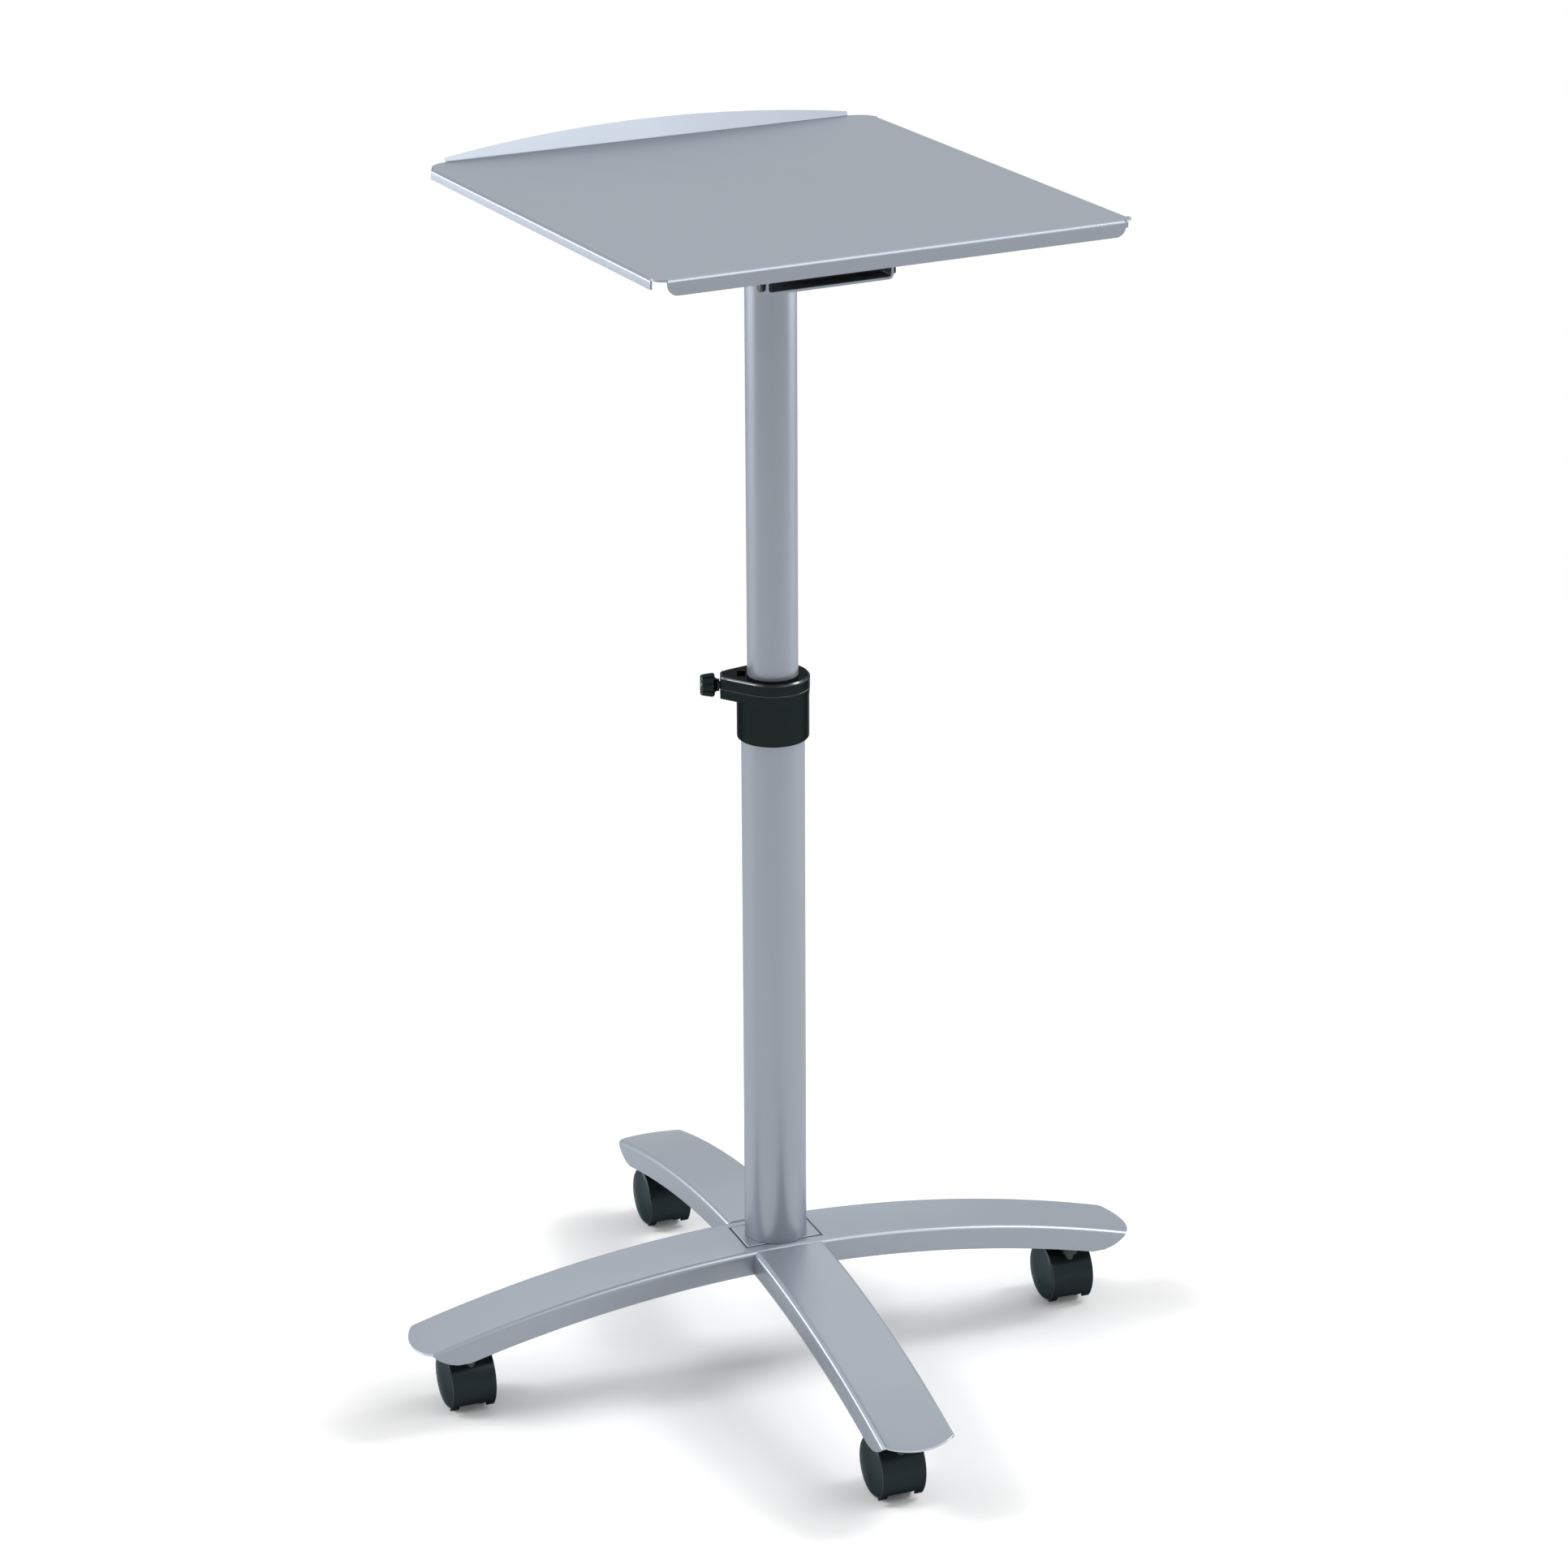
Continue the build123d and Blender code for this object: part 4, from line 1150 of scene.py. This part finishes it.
def build_channel(sizes):
    """U channel of bent sheet on the upper tube."""
    low, high = turned_box("head_channel", HEAD_TURN)
    bend = sizes.channel_bend
    turn = Matrix.Rotation(HEAD_TURN, 3, "Z")
    front = [low.y + far for far in round_steps(sizes.channel_front_round, BEND_STEPS)]
    rear = [high.y - far for far in reversed(round_steps(sizes.channel_rear_round, REAR_STEPS))]
    stations = front + spread(front[-1], rear[0], SHORT_STEPS)[1:-1] + rear
    curve = arc((0, 0), bend, 180, 270, BEND_STEPS)
    shares = spread(1, 0, WALL_STEPS)[:-1]
    mesh = bmesh.new()
    rows = []
    for share in shares:
        foot = low.z + bend
        rows.append([(low.x, y, foot + (wall_top(sizes, y, low, high) - foot) * share) for y in stations])
    for x, z in curve:
        rows.append([(low.x + bend + x, y, low.z + bend + z) for y in stations])
    mirrored = [[(low.x + high.x - x, y, z) for x, y, z in row] for row in reversed(rows)]
    turned = [[turn @ Vector(point) for point in row] for row in rows + mirrored]
    join_rows(mesh, turned)
    channel = new_piece("channel_sheet", mesh, "mast", grey_paint(), ["head_channel"])
    thicken(channel, sizes.channel_sheet)
    round_edges(channel, sizes.sheet_round)
    return low, high


class STAND_OT_head(Operator):
    """Build the head's channel, hinge pin, saddle and bolts"""

    bl_idname = "stand.head"
    bl_label = "Head"

    def execute(self, context):
        sizes = context.scene.stand_sizes
        low, high = build_channel(sizes)
        dress_node("hinge_pin", plated_steel(), EASED_EDGE)
        dress_node("tilt_saddle", black_enamel(), EASED_EDGE)
        turn = Matrix.Rotation(HEAD_TURN, 4, "Z")
        mesh = bmesh.new()
        for side in (-1, 1):
            wall = Matrix.Rotation(math.radians(90 * side), 4, "Y")
            spot = Matrix.Translation((side * high.x, low.y + BOLT_BACK, low.z + BOLT_RISE))
            hex_head(mesh, turn @ spot @ wall, *CHANNEL_BOLT)
        bolts = new_piece("channel_bolts", mesh, "mast", plated_steel())
        round_edges(bolts, FINE_EDGE)
        return {"FINISHED"}


# Tray

def bend_strip(mesh, line, outward, radius, turn, reach, lean=0):
    """Bend and flange along a line of vertices; reach gives the flange's end height for each of them."""
    rows = [line]
    bend = math.pi / 2 - lean
    for angle in spread(0, bend, BEND_STEPS)[1:]:
        shift = outward * radius * math.sin(angle)
        rise = turn * radius * (1 - math.cos(angle))
        rows.append([mesh.verts.new(vert.co + shift + Vector((0, 0, rise))) for vert in line])
    last = []
    for vert, far in zip(rows[-1], reach):
        rise = far - radius * (1 - math.cos(bend))
        last.append(mesh.verts.new(vert.co + outward * rise / math.tan(bend) + Vector((0, 0, turn * rise))))
    rows.append(last)
    for near, far in zip(rows, rows[1:]):
        for here in range(len(line) - 1):
            mesh.faces.new((near[here + 1], near[here], far[here], far[here + 1]))


def end_spaced(start, end, radius, steps):
    """Values from start to end, close together where the ends are rounded."""
    side = 1 if end > start else -1
    lead = [start + side * far for far in round_steps(radius, SHORT_STEPS)]
    tail = [start + end - value for value in reversed(lead)]
    return lead + spread(lead[-1], tail[0], steps)[1:-1] + tail


def front_corner_points(sizes, half, depth, front_half, side_start):
    """Points of the tray's front right corner, from the front flange's end to the side flange's."""
    corner = sizes.front_corner
    first = -math.degrees(math.acos((front_half - half + corner) / corner))
    return arc((half - corner, corner - depth), corner, first, 0, SHORT_STEPS) + [(half, side_start)]


def rear_corner_points(sizes, half, rear_line, lip_half, side_end):
    """Points of the tray's rear right corner, from the side flange's end to the lip's."""
    corner = sizes.rear_corner
    first = math.degrees(math.asin((side_end - rear_line + corner) / corner))
    last = math.degrees(math.acos((lip_half - half + corner) / corner))
    return arc((half - corner, rear_line - corner), corner, first, last, REAR_CORNER_STEPS)[:-1]


def lip_heights(sizes, places, half, top, least):
    """Heights of the rear lip's arched edge at places along it."""
    radius = bow_radius(half, top - sizes.lip_end)
    return [max(least, top - radius + math.sqrt(radius**2 - x**2)) for x in places]


def build_tray(sizes):
    """Tray of one bent sheet: side flanges, a deeper front flange and an arched rear lip."""
    low, high = turned_box("tray", HEAD_TURN)
    half = high.x
    depth = -low.y
    bend = sizes.tray_bend
    inner_bend = bend - sizes.tray_sheet
    top = low.z + sizes.front_flange
    side_line = half - bend
    rear_line = depth - bend
    front_half = half - sizes.front_inset
    lip_half = half - sizes.lip_inset
    side_start = sizes.side_front_inset - depth
    side_end = depth - sizes.side_rear_inset
    mesh = bmesh.new()

    def line_of(points):
        return [mesh.verts.new((x, y, top)) for x, y in points]

    front_xs = end_spaced(-front_half, front_half, sizes.front_round, ROW_STEPS)
    lip_xs = end_spaced(lip_half, -lip_half, sizes.rear_corner, LIP_STEPS)
    front = line_of([(x, -rear_line) for x in front_xs])
    right = line_of([(side_line, y) for y in spread(side_start, side_end, ROW_STEPS)])
    rear = line_of([(x, rear_line) for x in lip_xs])
    left = line_of([(-side_line, y) for y in spread(side_end, side_start, ROW_STEPS)])

    front_arc = front_corner_points(sizes, half, depth, front_half, side_start)
    rear_arc = rear_corner_points(sizes, half, rear_line, lip_half, side_end)
    front_right = line_of(front_arc)
    front_left = line_of([(-x, y) for x, y in reversed(front_arc)])
    rear_right = line_of(rear_arc)
    rear_left = line_of([(-x, y) for x, y in reversed(rear_arc)])
    mesh.faces.new(front + front_right + right + rear_right + rear + rear_left + left + front_left)

    front_reach = [sizes.front_flange - round_drop(sizes.front_round, front_half - abs(x)) for x in front_xs]
    lip_reach = lip_heights(sizes, lip_xs, lip_half, high.z - top, inner_bend * LEAST_LIP)
    bend_strip(mesh, front, Vector((0, -1, 0)), bend, -1, front_reach)
    bend_strip(mesh, right, Vector((1, 0, 0)), bend, -1, [sizes.side_flange] * len(right))
    bend_strip(mesh, left, Vector((-1, 0, 0)), bend, -1, [sizes.side_flange] * len(left))
    bend_strip(mesh, rear, Vector((0, 1, 0)), inner_bend, 1, lip_reach, sizes.lip_lean)
    bmesh.ops.transform(mesh, matrix=Matrix.Rotation(HEAD_TURN, 4, "Z"), verts=mesh.verts)
    tray = new_piece("tray_sheet", mesh, "table", grey_paint(), ["tray"])
    thicken(tray, sizes.tray_sheet)
    round_edges(tray, sizes.sheet_round)


class STAND_OT_tray(Operator):
    """Build the tray of bent sheet"""

    bl_idname = "stand.tray"
    bl_label = "Tray"

    def execute(self, context):
        build_tray(context.scene.stand_sizes)
        return {"FINISHED"}


# Studio

# Camera as solved from the photograph; angles in degrees, lens and sensor in millimetres
CAMERA_PLACE = Vector((-1.25434, -3.2555, 1.7922))
CAMERA_YAW = 21.21
CAMERA_PITCH = 20.32
CAMERA_ROLL = -0.26
CAMERA_LENS = 108.97
SENSOR_WIDTH = 36
NEAR_LIMIT = 0.05

# Floor, which fades between two distances from the column
FLOOR_SOLID = 0.8
FLOOR_REACH = 2.2
FLOOR_ROUGHNESS = 0.9

# Patches of light overhead: their places, their aim and the angles in degrees that they span
RIGHT_OVERHEAD = (4.2, -0.5, 5)
LEFT_OVERHEAD = (-4.2, 0.8, 5)
REAR_OVERHEAD = (2, 5.9, 5.5)
OVERHEAD_AIM = (0, 0, 0.5)
WIDE_SPREAD = 42
NARROW_SPREAD = 15

# Soft boxes: place, aim, width and height; at the sides they hang below the tray, which would mirror them
LEFT_BOX = ((-3.3, 2.4, 0.6), (0, 0, 0.6), 3.8, 0.7)
RIGHT_BOX = ((4.1, 0, 0.6), (0, 0, 0.6), 3.8, 0.7)
FRONT_BOX = ((1, -2.1, 2.9), (0, 0, 0.9), 1.6, 1.6)


def hang_lamp(lamp, place, target):
    """Hangs a lamp at a place, aimed at a point."""
    holder = bpy.data.objects.new(lamp.name, lamp)
    holder.location = place
    holder.rotation_euler = (Vector(target) - Vector(place)).to_track_quat("-Z", "Y").to_euler()
    bpy.context.scene.collection.objects.link(holder)


def add_soft_box(name, power, place, target, width, height):
    """Soft box at a place, aimed at a point."""
    lamp = bpy.data.lights.new(name, "AREA")
    lamp.shape = "RECTANGLE"
    lamp.size = width
    lamp.size_y = height
    lamp.energy = power
    hang_lamp(lamp, place, target)


def add_overhead(name, place, strength, angle):
    """Even light from a patch overhead that spans an angle in degrees."""
    lamp = bpy.data.lights.new(name, "SUN")
    lamp.energy = strength
    lamp.angle = math.radians(angle)
    hang_lamp(lamp, place, OVERHEAD_AIM)


def seen_directly(tree):
    """Mask of rays from the camera, from a reflection or through glass."""
    path = tree.nodes.new("ShaderNodeLightPath")
    shown = add_math(tree, "MAXIMUM", path.outputs["Is Camera Ray"], path.outputs["Is Glossy Ray"])
    return add_math(tree, "MAXIMUM", shown, path.outputs["Is Transmission Ray"])


def build_world(light):
    """White backdrop, with a softer level for the light that it gives."""
    world = bpy.data.worlds.new("studio")
    world.use_nodes = True
    bpy.context.scene.world = world
    tree = world.node_tree
    background = tree.nodes["Background"]
    background.inputs["Color"].default_value = (1, 1, 1, 1)
    level = add_range(tree, seen_directly(tree), light.sky, 1)
    tree.links.new(level, background.inputs["Strength"])


def build_floor(light):
    """Pale floor that keeps the stand's shadow, fades into the backdrop and is clear from below."""
    mesh = bmesh.new()
    mesh.faces.new([mesh.verts.new((x, y, 0)) for x, y in circle(FLOOR_REACH, CIRCLE_STEPS)])
    floor = mesh_object("floor", mesh)
    material = bpy.data.materials.new("pale_floor")
    material.use_nodes = True
    tree = material.node_tree
    shader = tree.nodes["Principled BSDF"]
    shader.inputs["Base Color"].default_value = (light.floor, light.floor, light.floor, 1)
    shader.inputs["Roughness"].default_value = FLOOR_ROUGHNESS
    shader.inputs["Specular IOR Level"].default_value = 0
    face = tree.nodes.new("ShaderNodeNewGeometry")
    away = tree.nodes.new("ShaderNodeVectorMath")
    away.operation = "LENGTH"
    tree.links.new(face.outputs["Position"], away.inputs[0])
    fade = tree.nodes.new("ShaderNodeMapRange")
    fade.inputs["From Min"].default_value = FLOOR_SOLID
    fade.inputs["From Max"].default_value = FLOOR_REACH
    tree.links.new(away.outputs["Value"], fade.inputs["Value"])
    unseen = add_math(tree, "MAXIMUM", face.outputs["Backfacing"], fade.outputs["Result"])
    clear = tree.nodes.new("ShaderNodeBsdfTransparent")
    surface = tree.nodes.new("ShaderNodeMixShader")
    tree.links.new(unseen, surface.inputs["Fac"])
    tree.links.new(shader.outputs["BSDF"], surface.inputs[1])
    tree.links.new(clear.outputs["BSDF"], surface.inputs[2])
    tree.links.new(surface.outputs["Shader"], tree.nodes["Material Output"].inputs["Surface"])
    floor.data.materials.append(material)


def build_camera():
    """Camera at the photograph's viewing angle."""
    camera = bpy.data.cameras.new("camera")
    camera.lens = CAMERA_LENS
    camera.sensor_width = SENSOR_WIDTH
    camera.clip_start = NEAR_LIMIT
    holder = bpy.data.objects.new("camera", camera)
    yaw = Matrix.Rotation(math.radians(-CAMERA_YAW), 4, "Z")
    pitch = Matrix.Rotation(math.radians(90 - CAMERA_PITCH), 4, "X")
    roll = Matrix.Rotation(math.radians(CAMERA_ROLL), 4, "Z")
    holder.matrix_world = Matrix.Translation(CAMERA_PLACE) @ yaw @ pitch @ roll
    bpy.context.scene.collection.objects.link(holder)
    bpy.context.scene.camera = holder


class STAND_OT_stage(Operator):
    """Build the floor, the soft light and the camera"""

    bl_idname = "stand.stage"
    bl_label = "Stage"

    def execute(self, context):
        light = context.scene.stand_light
        context.scene.view_settings.view_transform = "Standard"
        build_world(light)
        build_floor(light)
        build_camera()
        for side, spot, strength in (
            ("right", RIGHT_OVERHEAD, light.right),
            ("left", LEFT_OVERHEAD, light.left),
        ):
            add_overhead(f"{side}_light", spot, strength * (1 - light.core), WIDE_SPREAD)
            add_overhead(f"{side}_core", spot, strength * light.core, NARROW_SPREAD)
        add_overhead("rear_light", REAR_OVERHEAD, light.rear, WIDE_SPREAD)
        add_soft_box("left_box", light.sides, *LEFT_BOX)
        add_soft_box("right_box", light.sides, *RIGHT_BOX)
        add_soft_box("front_box", light.front, *FRONT_BOX)
        return {"FINISHED"}


OPERATORS = (
    STAND_OT_base,
    STAND_OT_castors,
    STAND_OT_column,
    STAND_OT_clamp,
    STAND_OT_head,
    STAND_OT_tray,
    STAND_OT_stage,
)


class STAND_PT_panel(Panel):
    """Lists the stand's sizes, finishes, light and building steps."""

    bl_idname = "STAND_PT_panel"
    bl_label = "Rolling stand"
    bl_space_type = "VIEW_3D"
    bl_region_type = "UI"
    bl_category = "Stand"

    def draw(self, context):
        for group in (context.scene.stand_sizes, context.scene.stand_finish, context.scene.stand_light):
            box = self.layout.box()
            for name in type(group).__annotations__:
                box.prop(group, name)
        for operator in OPERATORS:
            self.layout.operator(operator.bl_idname)


SETTINGS = {"stand_sizes": StandSizes, "stand_finish": StandFinish, "stand_light": StandLight}


def register():
    """Register the settings, the building steps and the panel."""
    for name, group in SETTINGS.items():
        bpy.utils.register_class(group)
        setattr(bpy.types.Scene, name, PointerProperty(type=group))
    for cls in (*OPERATORS, STAND_PT_panel):
        bpy.utils.register_class(cls)


def unregister():
    """Take back what register added."""
    for cls in (STAND_PT_panel, *reversed(OPERATORS)):
        bpy.utils.unregister_class(cls)
    for name, group in SETTINGS.items():
        delattr(bpy.types.Scene, name)
        bpy.utils.unregister_class(group)


def main():
    """Build every piece in order."""
    register()
    bpy.ops.stand.base()
    bpy.ops.stand.castors()
    bpy.ops.stand.column()
    bpy.ops.stand.clamp()
    bpy.ops.stand.head()
    bpy.ops.stand.tray()
    bpy.ops.stand.stage()


if __name__ == "__main__":
    main()
